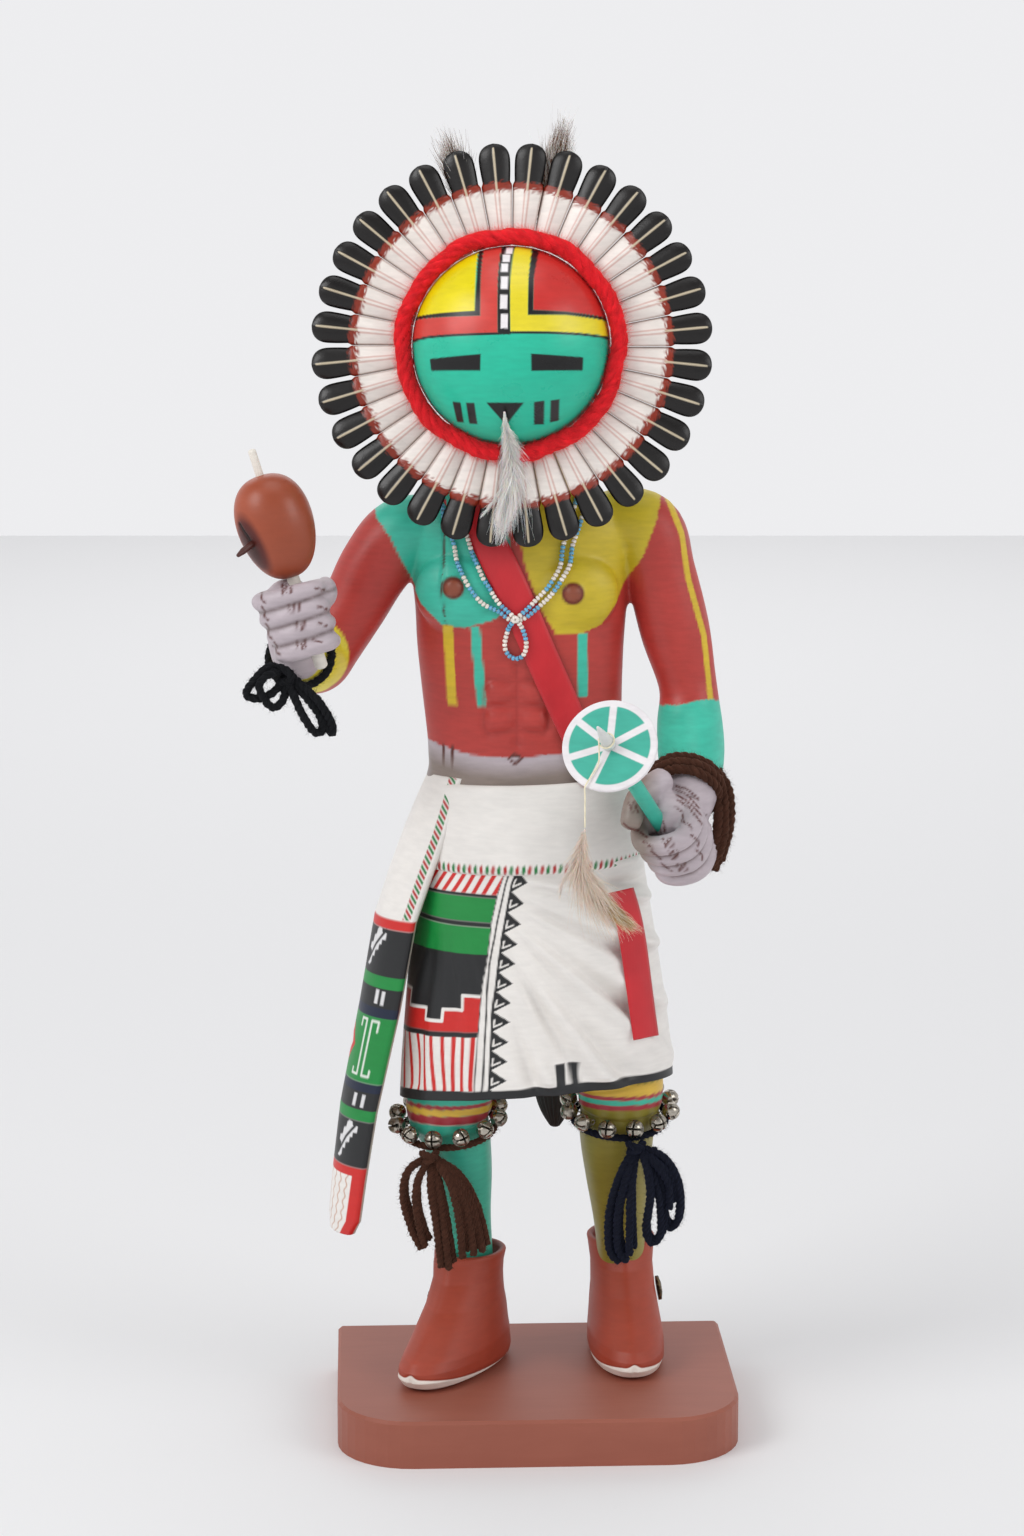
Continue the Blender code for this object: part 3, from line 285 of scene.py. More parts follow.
def oval_rows(rows, columns, power=2.0):
    """Rounded-oval sections (z, centre x, half width, front, back) as rows of points."""
    angle = np.linspace(0.0, math.tau, columns + 1)[:-1]
    c, s = np.cos(angle), np.sin(angle)
    u = np.sign(c) * np.abs(c) ** (2.0 / power)
    v = np.sign(s) * np.abs(s) ** (2.0 / power)
    grid = []
    for z, cx, half, front, rear in rows:
        depth = np.where(s > 0, rear, front)
        grid.append(np.column_stack([cx + u * half, v * depth, np.full(columns, z)]))
    return np.array(grid)


def ball(name, centre, radii):
    """A stretched sphere, for one muscle, knuckle or button of the carving."""
    bpy.ops.object.select_all(action="DESELECT")
    bpy.ops.mesh.primitive_uv_sphere_add(segments=28, ring_count=16, radius=MM)
    item = bpy.context.object
    item.name = name
    item.data.transform(Matrix.Translation(Vector(centre) * MM) @ Matrix.Diagonal((*radii, 1.0)))
    return item


def joined(name, items):
    """Several meshes joined into the first, which takes the name."""
    bpy.ops.object.select_all(action="DESELECT")
    for item in items:
        item.select_set(True)
    bpy.context.view_layer.objects.active = items[0]
    if len(items) > 1:
        bpy.ops.object.join()
    items[0].name = name
    items[0].data.name = name
    return items[0]


def applied(item, kind, **settings):
    """Adds a modifier and applies it at once."""
    bpy.ops.object.select_all(action="DESELECT")
    item.select_set(True)
    bpy.context.view_layer.objects.active = item
    step = item.modifiers.new(kind.lower(), kind)
    for name, value in settings.items():
        setattr(step, name, value)
    bpy.ops.object.modifier_apply(modifier=step.name)
    return item


def hand_masses(name, start, axis, hint, first_row, pitch, size):
    """A closed hand round a stick: a palm, four fingers with knuckles, wrapped to the front."""
    axis = axis.normalized()
    side = (hint - axis * hint.dot(axis)).normalized()
    front = axis.cross(side)
    if front.y > 0:
        front = -front

    def grip(u, v, w):
        return start + side * u * size + front * v * size + axis * w

    palm_line = [grip(4.5, -4.5, first_row + w * pitch) for w in (-0.2, 0.6, 1.6, 2.6, 3.2)]
    line = smooth_line([(*p, r) for p, r in zip(palm_line, (7.4, 9.2, 9.6, 9.2, 7.4))], 24)
    items = [skin(name + "_palm", rod_grid(line[:, :3], line[:, 3], 24))]
    for row in range(4):
        w = first_row + row * pitch
        reach = 1.0 - 0.05 * row
        path = [(13, -6, w), (15.0 * reach, 2.0, w), (10.5 * reach, 9.5, w), (1.0, 11.5, w),
                (-7.5 * reach, 8.5, w + 0.6), (-9.5 * reach, 1.5, w + 0.8)]
        share = (0.47, 0.50, 0.50, 0.49, 0.47, 0.40)
        line = smooth_line([(*grip(*p), r * pitch) for p, r in zip(path, share)], 30)
        items.append(skin(name + "_finger", rod_grid(line[:, :3], line[:, 3], 16)))
    return items


NIPPLES = ((-31.9, -24.0, 342.4), (14.1, -24.0, 340.2))
masses = [skin("torso", oval_rows(smooth_line(TORSO, 90), 64, 2.2))]
for cx in (-28.0, 13.0):
    masses.append(ball("chest", (cx, -13.6, 339.3), (19.0, 11.0, 16.5)))
for place in NIPPLES:
    masses.append(ball("nipple", place, (3.9, 3.0, 3.9)))
for cx in (-14.2, -0.6):
    for z in (301.2, 290.0):
        masses.append(ball("belly", (cx, -20.2, z), (6.6, 2.9, 5.9)))
for name, arm in (("right_arm", RIGHT_ARM), ("left_arm", LEFT_ARM)):
    line = smooth_line(arm, 60)
    masses.append(skin(name, rod_grid(line[:, :3], line[:, 3], 36)))
masses += hand_masses("right_hand", *RIGHT_GRIP[:2], Vector((-1, 0, 0)), *RIGHT_GRIP[2:])
masses.append(ball("right_thumb", (-79.5, -51.0, 344.3), (4.6, 7.0, 6.0)))
masses += hand_masses("left_hand", *LEFT_GRIP[:2], Vector((1, 0, 0)), *LEFT_GRIP[2:])
line = smooth_line([(48, -46, 271.3, 5.4), (39, -55, 266.3, 5.0), (35.4, -60, 257.3, 4.2)], 16)
masses.append(skin("left_thumb", rod_grid(line[:, :3], line[:, 3], 20)))
masses.append(ball("thumb_web", (43.0, -47.0, 257.5), (7.0, 6.0, 8.0)))
figure = joined("figure_skin", masses)
figure.data.remesh_voxel_size = SKIN_VOXEL * MM
applied(figure, "REMESH", mode="VOXEL", voxel_size=SKIN_VOXEL * MM)
applied(figure, "SMOOTH", factor=0.5, iterations=3)


def points_of(item):
    """A mesh's points in millimetres, as rows."""
    flat = np.empty(len(item.data.vertices) * 3)
    item.data.vertices.foreach_get("co", flat)
    return flat.reshape(-1, 3) / MM


def to_line(places, line):
    """Distance from each flat place to an open line."""
    line = np.array(line, dtype=float)
    best = np.full(places.shape[:-1], 1e9)
    for a, b in zip(line, line[1:]):
        edge = b - a
        share = np.clip(((places - a) @ edge) / max(edge @ edge, 1e-9), 0.0, 1.0)
        gap = places - a - share[..., None] * edge
        best = np.minimum(best, np.hypot(gap[..., 0], gap[..., 1]))
    return best


def to_patch(places, outline):
    """Signed distance from each flat place to a closed outline, negative inside."""
    ring = np.array(list(outline) + [outline[0]], dtype=float)
    gap = to_line(places, ring)
    x, y = places[..., 0], places[..., 1]
    inside = np.zeros(x.shape, dtype=bool)
    for (ax, ay), (bx, by) in zip(ring, ring[1:]):
        if ay != by:
            inside ^= ((ay > y) != (by > y)) & (x < (bx - ax) * (y - ay) / (by - ay) + ax)
    return np.where(inside, -gap, gap)


def lay(colours, gap, hex_colour, soft=0.35):
    """Brushes a colour where the signed distance is negative, with an edge soft millimetres wide."""
    cover = np.clip(0.5 - gap / soft, 0.0, 1.0)[..., None]
    colours += cover * (linear(hex_colour) - colours)


def in_view(places):
    """Places in millimetres as the camera sees them, in pixels of a picture 1024 by 1536."""
    offset = places - np.array(CAMERA_PLACE) / MM
    down = math.radians(CAMERA_DOWN)
    depth = offset[:, 1] * math.cos(down) - offset[:, 2] * math.sin(down)
    lift = offset[:, 1] * math.sin(down) + offset[:, 2] * math.cos(down)
    focal = CAMERA_LENS / CAMERA_SENSOR * PICTURE[1]
    return np.column_stack([PICTURE[0] / 2 + focal * offset[:, 0] / depth,
                            PICTURE[1] / 2 - focal * lift / depth])


P = points_of(figure)
# In pixels of the picture, as the camera sees them: the creases of the belly and a drying crack.
CREASE_DEPTH = 1.0
CREASE_WIDTH = 4.6
CRACK_DEPTH = 0.9
CRACK_WIDTH = 1.6
BELLY_LINES = (((484, 688), (488, 679), (517, 682), (544, 679), (548, 688), (548, 727), (544, 734),
                (517, 731), (488, 734), (484, 727), (484, 688)), ((486, 706), (546, 706)),
               ((517, 666), (517, 745)))
belly_gap = np.min([to_line(in_view(P), line) for line in BELLY_LINES], axis=0)
belly_gap = np.where(P[:, 1] < 0, belly_gap, 99.0)
P[:, 1] += CREASE_DEPTH * np.exp(-(belly_gap / CREASE_WIDTH) ** 2)
CRACK = ((445, 500), (444, 560), (441, 590), (446, 625))
crack_gap = np.where(P[:, 1] < 0, to_line(in_view(P), CRACK), 99.0)
P[:, 1] += CRACK_DEPTH * np.exp(-(crack_gap / CRACK_WIDTH) ** 2)
figure.data.vertices.foreach_set("co", (P * MM).ravel())
front = P[:, [0, 2]]
view = in_view(P)
facing = P[:, 1]
rng = np.random.default_rng(7)
colours = np.tile(linear(BODY_RED), (len(P), 1))
TEAL_PATCH = ((-63.6, 376), (-62, 368), (-56.7, 361.2), (-50.3, 348.1), (-44.6, 335.7), (-35.8, 326.8),
              (-27.4, 326.4), (-18.9, 328.8), (-14.7, 330.3), (-9, 350), (-12, 372), (-20, 390), (-50, 395))
MUSTARD_PATCH = ((-4.7, 352.3), (-2.4, 344.6), (1.8, 333.8), (7.6, 324.1), (16.8, 323.7), (25.3, 327.2),
                 (31, 335.3), (34, 342.3), (40.9, 352.3), (46.5, 367.3), (48.7, 376.2), (42.2, 392),
                 (5, 400), (-8, 372))
lay(colours, np.maximum(to_patch(front, TEAL_PATCH), facing - 9.0), PATCH_TEAL)
lay(colours, np.maximum(to_patch(front, MUSTARD_PATCH), facing - 9.0), PATCH_MUSTARD)
for line, hex_colour in ((((-34.2, 327.4), (-32.4, 295.5)), CHEST_YELLOW),
                         (((-23.6, 327.0), (-21.0, 295.5)), PATCH_TEAL),
                         (((18.0, 324.0), (18.1, 299.0)), PATCH_TEAL)):
    (ax, top), (bx, foot) = line
    middle = ax + (bx - ax) * (top - front[:, 1]) / (top - foot)
    band = np.maximum(np.abs(front[:, 0] - middle) - 1.9, np.maximum(front[:, 1] - top, foot - front[:, 1]))
    lay(colours, np.maximum(band, facing), hex_colour)
stripe = ((50.1, 377.3), (56.4, 361.4), (58.9, 344.3), (65.3, 321.6), (68.2, 295.3))
lay(colours, np.maximum(to_line(front, stripe) - 1.1, facing - 2.0), CHEST_YELLOW)
wave = 1.2 * np.sin(front[:, 0] * 0.21) + 0.8 * np.sin(facing * 0.3)
lay(colours, np.maximum(front[:, 1] - 295.6 - wave, 46.0 - front[:, 0]), PATCH_TEAL)
ELBOW_PATCH = (313.0, 655.0, 36.0)  # centre and radius in the picture
elbow = np.minimum(np.hypot(view[:, 0] - ELBOW_PATCH[0], view[:, 1] - ELBOW_PATCH[1]) - ELBOW_PATCH[2],
                   14.0 + facing * 0.8)
lay(colours, np.maximum(elbow, (front[:, 0] + 66.0) * 2.6), ELBOW_YELLOW, 1.4)
WRIST = np.array((61.0, -31.0, 267.0))
wrist = np.array((-0.096, -0.824, -0.560))
lay(colours, np.maximum(-(P - WRIST) @ wrist, 24.0 - front[:, 0]), HAND_GREY)
lay(colours, np.maximum(facing + 33.0, front[:, 0] + 70.0), HAND_GREY)
band_top = np.interp(front[:, 0], (-42.3, -25.6, -8.1, 9.3, 24.8, 33.3),
                     (280.4, 276.5, 275.7, 277.3, 279.2, 281.6))
lay(colours, np.maximum(front[:, 1] - np.where(facing < 0, band_top, 281.0), np.abs(front[:, 0]) - 44.0),
    HAND_GREY)
for x in (-36.0, -32.5):
    lay(colours, np.maximum(np.abs(front[:, 0] - x) - 0.5, np.maximum(front[:, 1] - 279.5, facing)),
        STROKE_BROWN)
lay(colours, np.maximum(front[:, 1] - np.where(facing < 0, band_top, 281.0) + 5.0,
                        np.abs(front[:, 0]) - 44.0), WAIST_SHADE, 7.0)
diamond = to_patch(front, ((-11.4, 275.4), (-8.1, 277.9), (-4.8, 275.4), (-8.1, 272.9)))
lay(colours, np.maximum(np.abs(diamond + 0.5) - 0.5, facing), STROKE_BROWN)
for x, y, z in NIPPLES:
    gap = np.hypot(front[:, 0] - x, front[:, 1] - z)
    lay(colours, np.maximum(gap - 4.3, facing), NIPPLE_RIM, 0.8)
    lay(colours, np.maximum(gap - 3.2, facing), NIPPLE_BROWN, 0.8)
lay(colours, crack_gap - 0.55, CRACK_BROWN, 0.9)
# Painted shade: a darker red laid softly along the carved belly creases.
lay(colours, belly_gap - 0.2, BELLY_CREASE_SHADE, 5.0)
LEFT_HAND_MARKS = (  # brown strokes on the back of the hand, the knuckles and the fingers
    ((676, 807), (682, 812), (683, 818)), ((682, 821), (690, 826), (691, 830)),
    ((691, 835), (698, 841), (698, 846)), ((696, 850), (702, 855), (702, 860)),
    ((655, 823), (657, 833)), ((659, 823), (661, 833)), ((663, 822), (665, 832)),
    ((663, 839), (666, 847)), ((667, 839), (670, 847)), ((671, 838), (673, 846)),
    ((669, 851), (672, 859)), ((673, 851), (676, 859)), ((677, 850), (679, 858)),
    ((677, 864), (680, 871)), ((681, 864), (684, 871)), ((685, 863), (687, 870)),
    ((637, 830), (647, 837)), ((643, 841), (653, 848)), ((651, 851), (661, 859)), ((662, 864), (671, 871)),
    ((676, 786), (688, 790), (699, 800)), ((677, 790), (688, 796), (699, 808)),
    ((677, 795), (688, 802), (701, 815)), ((678, 800), (689, 808), (702, 824)),
    ((629, 803), (633, 813)), ((634, 802), (638, 812)), ((623, 823), (629, 828), (636, 830)))
RIGHT_HAND_MARKS = (
    ((259, 588), (262, 594), (261, 598), (265, 603)), ((262, 607), (265, 612), (264, 616), (268, 620)),
    ((266, 624), (269, 629), (268, 634), (272, 639)), ((274, 642), (277, 647), (276, 651), (280, 655)),
    ((282, 584), (283, 594)), ((286, 584), (287, 594)), ((290, 583), (291, 593)),
    ((289, 604), (290, 613)), ((294, 604), (295, 613)), ((299, 603), (300, 612)),
    ((297, 622), (298, 630)), ((301, 622), (302, 630)), ((305, 621), (306, 629)),
    ((297, 641), (298, 649)), ((301, 641), (302, 649)), ((305, 640), (306, 648)),
    ((315, 588), (325, 590)), ((317, 606), (327, 609)), ((319, 623), (327, 626)), ((313, 640), (322, 642)))
for line in LEFT_HAND_MARKS + RIGHT_HAND_MARKS:
    lay(colours, np.where(facing < -36.0, to_line(view, smooth_line(line, 24)), 99.0) - 0.9, STROKE_BROWN,
        1.2)
# Painted shade: the grooves between the fingers of both fists are painted a dark brown-grey.
groove_gap = np.full(len(P), 9.0)
for start, axis, first_row, pitch, size in (RIGHT_GRIP, LEFT_GRIP):
    offset = P - np.array(start)
    down_stick = offset @ np.array(axis)
    row = (down_stick - first_row) / pitch
    between = np.abs(row - np.round(row - 0.5) - 0.5) * pitch
    reach = np.linalg.norm(offset - np.outer(down_stick, np.array(axis)), axis=1)
    on_fingers = (row > 0.2) & (row < 2.8) & (reach < 17.0) & (facing < -44.0)
    groove_gap = np.where(on_fingers, between, groove_gap)
lay(colours, groove_gap - 0.45, FINGER_GROOVE_SHADE, 1.7)
spread_paint(figure.data, colours)


def painted_wood(name, gloss=0.42, brush=1.0, wear=0.10):
    """Satin water-based paint on sanded wood: brushed streaks, faint unevenness, soft shine."""
    material, tree, shader = new_material(name)
    colour = add_node(tree, "ShaderNodeAttribute", attribute_name="paint").outputs["Color"]
    where = add_node(tree, "ShaderNodeTexCoord").outputs["Object"]
    streaks = add_node(tree, "ShaderNodeMapping", {"Vector": where, "Scale": (140.0, 140.0, 620.0)})
    brushed = add_node(tree, "ShaderNodeTexNoise", {"Vector": streaks.outputs[0], "Scale": 1.0,
            "Detail": 4.0})
    cloudy = add_node(tree, "ShaderNodeTexNoise", {"Vector": where, "Scale": 75.0, "Detail": 5.0})
    mixed = add_node(tree, "ShaderNodeMath", {0: brushed.outputs[0], 1: cloudy.outputs[0]}, operation="ADD")
    level = add_node(tree, "ShaderNodeMapRange", {"Value": mixed.outputs[0], "From Min": 0.7,
            "From Max": 1.3, "To Min": 1.0 - wear, "To Max": 1.0 + wear})
    toned = add_node(tree, "ShaderNodeVectorMath", {0: colour, 1: level.outputs[0]}, operation="MULTIPLY")
    tree.links.new(toned.outputs[0], shader.inputs["Base Color"])
    rough = add_node(tree, "ShaderNodeMapRange", {"Value": cloudy.outputs[0], "From Min": 0.3,
            "From Max": 0.7, "To Min": gloss - 0.06, "To Max": gloss + 0.08})
    tree.links.new(rough.outputs[0], shader.inputs["Roughness"])
    fine = add_node(tree, "ShaderNodeTexNoise", {"Vector": where, "Scale": 1400.0, "Detail": 3.0})
    height = add_node(tree, "ShaderNodeMath", {0: brushed.outputs[0], 1: fine.outputs[0]}, operation="ADD")
    bump_from(tree, shader, height.outputs[0], 0.16 * brush, 0.0002)
    shader.inputs["IOR"].default_value = 1.47
    return material


def finished(item, material, slot, *nodes):
    """Gives a piece its material and its body, and hides the CAD nodes it stands for; the slot is not used.
    """
    item.data.materials.clear()
    item.data.materials.append(material)
    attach(item, "root")
    if nodes:
        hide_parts(*nodes)
    return item


for polygon in figure.data.polygons:
    polygon.use_smooth = True
satin_paint = painted_wood("satin_painted_cottonwood")
finished(figure, satin_paint, "painted_figure", "carved_figure")

# ---- Case mask: a turned dome in front of a rounded drum, painted glossier than the body. Its
# pattern is laid out flat in the plane of the face: side and up, in millimetres from the middle.
HEAD_CENTRE = np.array((-9.6, -27.0, 434.9))
HEAD_RADIUS = 37.5
DOME_DEPTH = 29.0
HEAD_BACK_DEPTH = 44.0
HEAD_YAW = math.radians(3.5)
HEAD_PITCH = math.radians(7.0)
MASK_TEAL = "21BD9C"
MASK_YELLOW = "E3D200"
MASK_RED = "C9302C"
MASK_BLACK = "141416"
MASK_WHITE = "EDE9EA"
FACE_OUT = np.array((-math.sin(HEAD_YAW) * math.cos(HEAD_PITCH), -math.cos(HEAD_YAW) * math.cos(HEAD_PITCH),
                     math.sin(HEAD_PITCH)))
FACE_SIDE = np.cross((0.0, 0.0, 1.0), FACE_OUT)
FACE_SIDE /= np.linalg.norm(FACE_SIDE)
FACE_UP = np.cross(FACE_OUT, FACE_SIDE)


def on_face(side, up, out):
    """A place in the mask's frame: sideways, upwards and out of the sunburst's plane."""
    side, up, out = np.broadcast_arrays(side, up, out)
    return (HEAD_CENTRE + side[..., None] * FACE_SIDE + up[..., None] * FACE_UP
            + out[..., None] * FACE_OUT)


turn = np.linspace(0.0, math.tau, 361)[:-1]
rise = np.concatenate([np.linspace(0.0, 90.0, 120), 90.0 + np.linspace(3.0, 90.0, 30)])
lean = np.radians(rise)
drum = HEAD_BACK_DEPTH * 0.55
reach = np.where(rise <= 90.0, np.sin(lean), 0.985 * np.abs(np.sin(lean)) ** 0.8) * HEAD_RADIUS
depth = np.where(rise <= 90.0, DOME_DEPTH * np.cos(lean), -drum + (HEAD_BACK_DEPTH - drum) * np.cos(lean))
reach[-1] = 0.0
across, above = reach[:, None] * np.cos(turn), reach[:, None] * np.sin(turn)
grid = on_face(across, above, depth[:, None] + 0.0 * across)
flat = np.stack([across, above], axis=-1)
behind = np.broadcast_to((depth < -1.0)[:, None], across.shape)
colours = np.tile(linear(MASK_TEAL), (*across.shape, 1))
YELLOW_FIELD = ((-38.3, 10), (-12.1, 11.5), (-12.3, 33.9), (-12.7, 40.8), (-45.1, 40.6), (-45.1, 9))
RED_FIELD = ((9.7, 11.9), (21.6, 11.6), (34.3, 10.6), (38.7, 10.1), (45, 12), (45, 45), (9.5, 45), (9.5, 24))
LEFT_CORNER = ((-12.1, 11.5), (-11.8, 24), (-12.1, 33.9), (-12.2, 39), (-10.1, 39), (-10.3, 33.7),
               (-10.3, 24), (-10, 9.7), (-24.2, 9.5), (-37, 9.3), (-40.8, 8.9), (-40.8, 9.9), (-37.3, 10.4),
               (-24.3, 11.1))
RED_BAND = ((-10, 9.7), (-10.3, 24), (-10.3, 33.7), (-10.1, 39), (-3, 39), (-3.5, 33.5), (-3.8, 23.9),
            (-3.3, 3.3), (-19.5, 2.9), (-30.1, 2.5), (-39.2, 1.3), (-40.7, 1), (-40.8, 9.7), (-37, 9.3),
            (-24.2, 9.5))
LOWER_LINE = ((-41, 0.6), (-39.2, 1.0), (-30.1, 2.2), (-19.5, 2.6), (-3.2, 3.0), (1.4, 3.4), (15.7, 3.55),
              (27.7, 3.35), (36.6, 2.8), (39.5, 2.5))
CENTRE_BAND = ((-3.3, 2.7), (-3.8, 23.9), (-3.5, 33.5), (-3, 39), (1.7, 39.1), (1.2, 33.5), (0.8, 23.9),
               (1.4, 2.7))
RIGHT_CORNER = ((7.8, 10), (7.6, 24), (8, 33.7), (7.9, 39.1), (10.5, 39.1), (10.6, 33.8), (9.5, 24),
                (9.7, 11.9), (21.6, 11.6), (34.3, 10.6), (39.5, 10.1), (39.5, 9.0), (35, 9.4), (21.6, 10.4))
YELLOW_BAND = ((1.4, 3.8), (0.8, 23.9), (1.2, 33.5), (1.7, 39.1), (7.9, 39.1), (8, 33.7), (7.6, 24),
               (7.8, 10), (21.6, 10.4), (35, 9.4), (39.5, 9.1), (39.5, 3.2), (36.6, 3.4), (27.7, 3.8),
               (15.7, 4))
CENTRE_WINDOWS = ((-0.35, 35.0, 1.35, 1.4), (-1.15, 31.75, 1.4, 1.5), (-1.5, 27.95, 1.35, 1.65),
                  (-1.3, 22.1, 1.3, 2.4), (-1.25, 14.85, 1.35, 2.65), (-0.9, 7.6, 1.3, 2.65))
EYES = (((-29.4, -5.9), (-9.6, -4.5), (-9.8, -10.6), (-28.9, -10.3)),
        ((9.1, -4.3), (28.1, -5.1), (27.9, -10), (9.2, -10.6)))
MOUTH = ((-7.8, -22.2), (6.3, -22.2), (-0.6, -30.4))
CHEEKS = (((-20.8, -21.7), (-17.6, -22.1), (-16.8, -29.3), (-19.5, -29.1)),
          ((-15.5, -22.2), (-12.3, -22.3), (-11.5, -30), (-14.7, -29.8)),
          ((10, -21.9), (13.9, -21.3), (13.4, -29.9), (9.7, -30.1)),
          ((16.1, -21.2), (19.4, -20.7), (18.9, -28.4), (15.6, -29.2)))
for outline, hex_colour in ((YELLOW_FIELD, MASK_YELLOW), (RED_FIELD, MASK_RED), (RED_BAND, "CE4038"),
                            (YELLOW_BAND, "E6D52A"), (LEFT_CORNER, MASK_BLACK), (RIGHT_CORNER, MASK_BLACK),
                            (CENTRE_BAND, MASK_BLACK)):
    lay(colours, np.where(behind, 9.0, to_patch(flat, outline)), hex_colour)
lay(colours, np.where(behind, 9.0, to_line(flat, LOWER_LINE) - 0.45), MASK_BLACK)
for cx, cy, half, tall in CENTRE_WINDOWS:
    gap = np.maximum(np.abs(across - cx) - half, np.abs(above - cy) - tall)
    lay(colours, np.where(behind, 9.0, gap), MASK_WHITE)
for outline in (*EYES, MOUTH):
    lay(colours, np.where(behind, 9.0, to_patch(flat, outline)), "0B0B0C")
for outline in CHEEKS:
    lay(colours, np.where(behind, 9.0, to_patch(flat, outline)), "241F20")
mask = skin("case_mask", grid, colours)
mask_paint = painted_wood("glossy_mask_paint", gloss=0.30, brush=0.7, wear=0.08)
finished(mask, mask_paint, "painted_figure", "carved_figure")

# ---- Sunburst: feathers carved one by one and glued round the mask, white with pink quill lines,
# a ragged rust-red border, and glossy black round tips that stand free of each other.
FEATHER_COUNT = 32
FEATHER_START = 37.9
FEATHER_TIP = 76.2
FEATHER_WHITE = "E9E3DC"
QUILL_PINK = "C8958A"
RUST_RED = "8C2C17"
TIP_BLACK = "0C0807"
TIP_QUILL = "CDBFA4"
reach = np.concatenate([np.linspace(FEATHER_START, 58.0, 22), np.linspace(58.6, 70.0, 26),
                        FEATHER_TIP - 6.2 * (1.0 - np.sin(np.linspace(0.05, 1.0, 14) * math.pi / 2.0))])
share = np.array((-1.0, -0.84, -0.62, -0.4, -0.25, -0.17, -0.11, -0.05, 0.0, 0.05, 0.11, 0.17, 0.25, 0.4,
                  0.62, 0.84, 1.0))
pitch = math.tau / FEATHER_COUNT
free = np.clip((reach - 60.0) / 1.6, 0.0, 1.0) ** 1.5
joined_half = reach * math.tan(pitch / 2.0) * 0.985
lobe_half = 5.0 + 1.0 * np.sin(np.clip((reach - 60.0) / 12.0, 0.0, 1.0) * math.pi / 2.0)
end = np.clip((reach - 68.5) / (FEATHER_TIP - 68.5), 0.0, 1.0)
lobe_half = lobe_half * np.sqrt(np.clip(1.0 - end ** 3.0, 0.0, 1.0))
half = joined_half * (1.0 - free) + lobe_half * free
slat_top = 0.2 + 2.3 * (1.0 - np.abs(share)) ** 0.7 + 0.5 * share
lobe_top = 0.1 + 2.5 * (1.0 - np.abs(share) ** 2.2) * 0.8 + 0.25 * (np.abs(share) < 0.08)
top = (slat_top[None] * (1.0 - free[:, None])
       + lobe_top[None] * free[:, None] * (0.35 + 0.65 * (1.0 - end[:, None] ** 3)))
front_row = np.stack([share[None] * half[:, None], np.repeat(reach[:, None], len(share), 1), top], axis=-1)
back_share = share[::-4]
back_row = np.stack([back_share[None] * half[:, None] * 0.96, np.repeat(reach[:, None], len(back_share), 1),
                     np.full((len(reach), len(back_share)), -1.8)], axis=-1)
section = np.concatenate([front_row, back_row], axis=1)
section = np.concatenate([section[:1] * (0, 1, 0) + (0, 0, -0.5), section,
                          section[-1:] * (0, 1, 0) + (0, 0.05, -0.5)])
lane = np.abs(np.concatenate([share, back_share]))
radius = section[..., 1]
pieces = []
for k in range(FEATHER_COUNT):
    ragged = rng.normal(0.0, 0.55, section.shape[:2])
    seen = np.broadcast_to(lane, radius.shape)
    colours = np.tile(linear(FEATHER_WHITE), (*radius.shape, 1)) * (1.0 + rng.normal(0.0, 0.02))
    lay(colours, np.abs(seen - 0.14) * 5.0 - 0.20 + 0.03 * ragged, QUILL_PINK, 0.5)
    # Painted shade: both edges of each feather are darkened grey-brown along the valleys between feathers.
    lay(colours, (0.93 - seen) * 5.0, "B9A79E", 0.6)
    lay(colours, 58.6 + 1.0 * ragged - radius, RUST_RED, 0.9)
    lay(colours, 61.4 + 0.7 * ragged - radius, TIP_BLACK, 0.7)
    lay(colours, np.maximum(np.maximum(seen * 5.0 - 0.32, 58.5 - radius), radius - 74.6), TIP_QUILL, 0.35)
    angle = (k + 0.5) * pitch
    c, s = math.cos(angle), math.sin(angle)
    x = section[..., 0] * c - section[..., 1] * s
    y = section[..., 0] * s + section[..., 1] * c
    pieces.append(skin("sun_feather", on_face(x, y, section[..., 2]), colours))
halo = joined("feather_sunburst", pieces)
feather_paint = painted_wood("painted_feather_carving", gloss=0.33, brush=1.4, wear=0.09)
finished(halo, feather_paint, "painted_feathers", "feather_halo")

# ---- Kilt: carved drapery with a painted brocade panel on the doll's right, a row of black
# teeth, and folds that fan out from the hip. Its pattern runs along the cloth: arc and height.
KILT_HEM_Z = 139.3
KILT = np.array((  # height, centre x, half width, half depth
    (0, 0.4, 54.6, 38.0), (14, 0.3, 53.8, 37.4), (28, 0.0, 52.4, 36.6), (44, -0.4, 50.6, 35.6),
    (60, -0.8, 48.6, 34.6), (76, -1.2, 46.4, 33.6), (92, -1.6, 44.2, 32.4), (108, -2.2, 40.4, 30.2)))
CLOTH_WHITE = "E9E5E0"
BROCADE_BLACK = "1D1E20"
BROCADE_RED = "CB2420"
BROCADE_GREEN = "10873B"
BROCADE_NAVY = "0E1B36"
FOLD_SOURCE = (-36.0, 236.0)
PANEL_EDGE = ((3.6, -22.8), (25, -22.5), (41.6, -21.3), (60.2, -18.8), (73.6, -17.6), (84.6, -15.1),
              (96, -11))
THIN_LINE = ((3.4, -20.1), (21, -19.6), (36, -18.8), (55.8, -18), (74, -14.9), (88.2, -11.6), (96, -8.9))
TOOTH_EDGE = ((3.4, -18.1), (36, -16.8), (52.2, -15.1), (67, -13.4), (81.2, -10.8), (89, -9.2), (96, -5.9))
STEPPED_LINE = ((-72, 43.2), (-55.1, 43.2), (-55.1, 36.8), (-45.4, 36.8), (-45.4, 32.2), (-37, 32.2),
                (-37, 37.0), (-28.7, 37.0), (-28.7, 43.0), (-21.8, 42.8), (-18, 42.8))
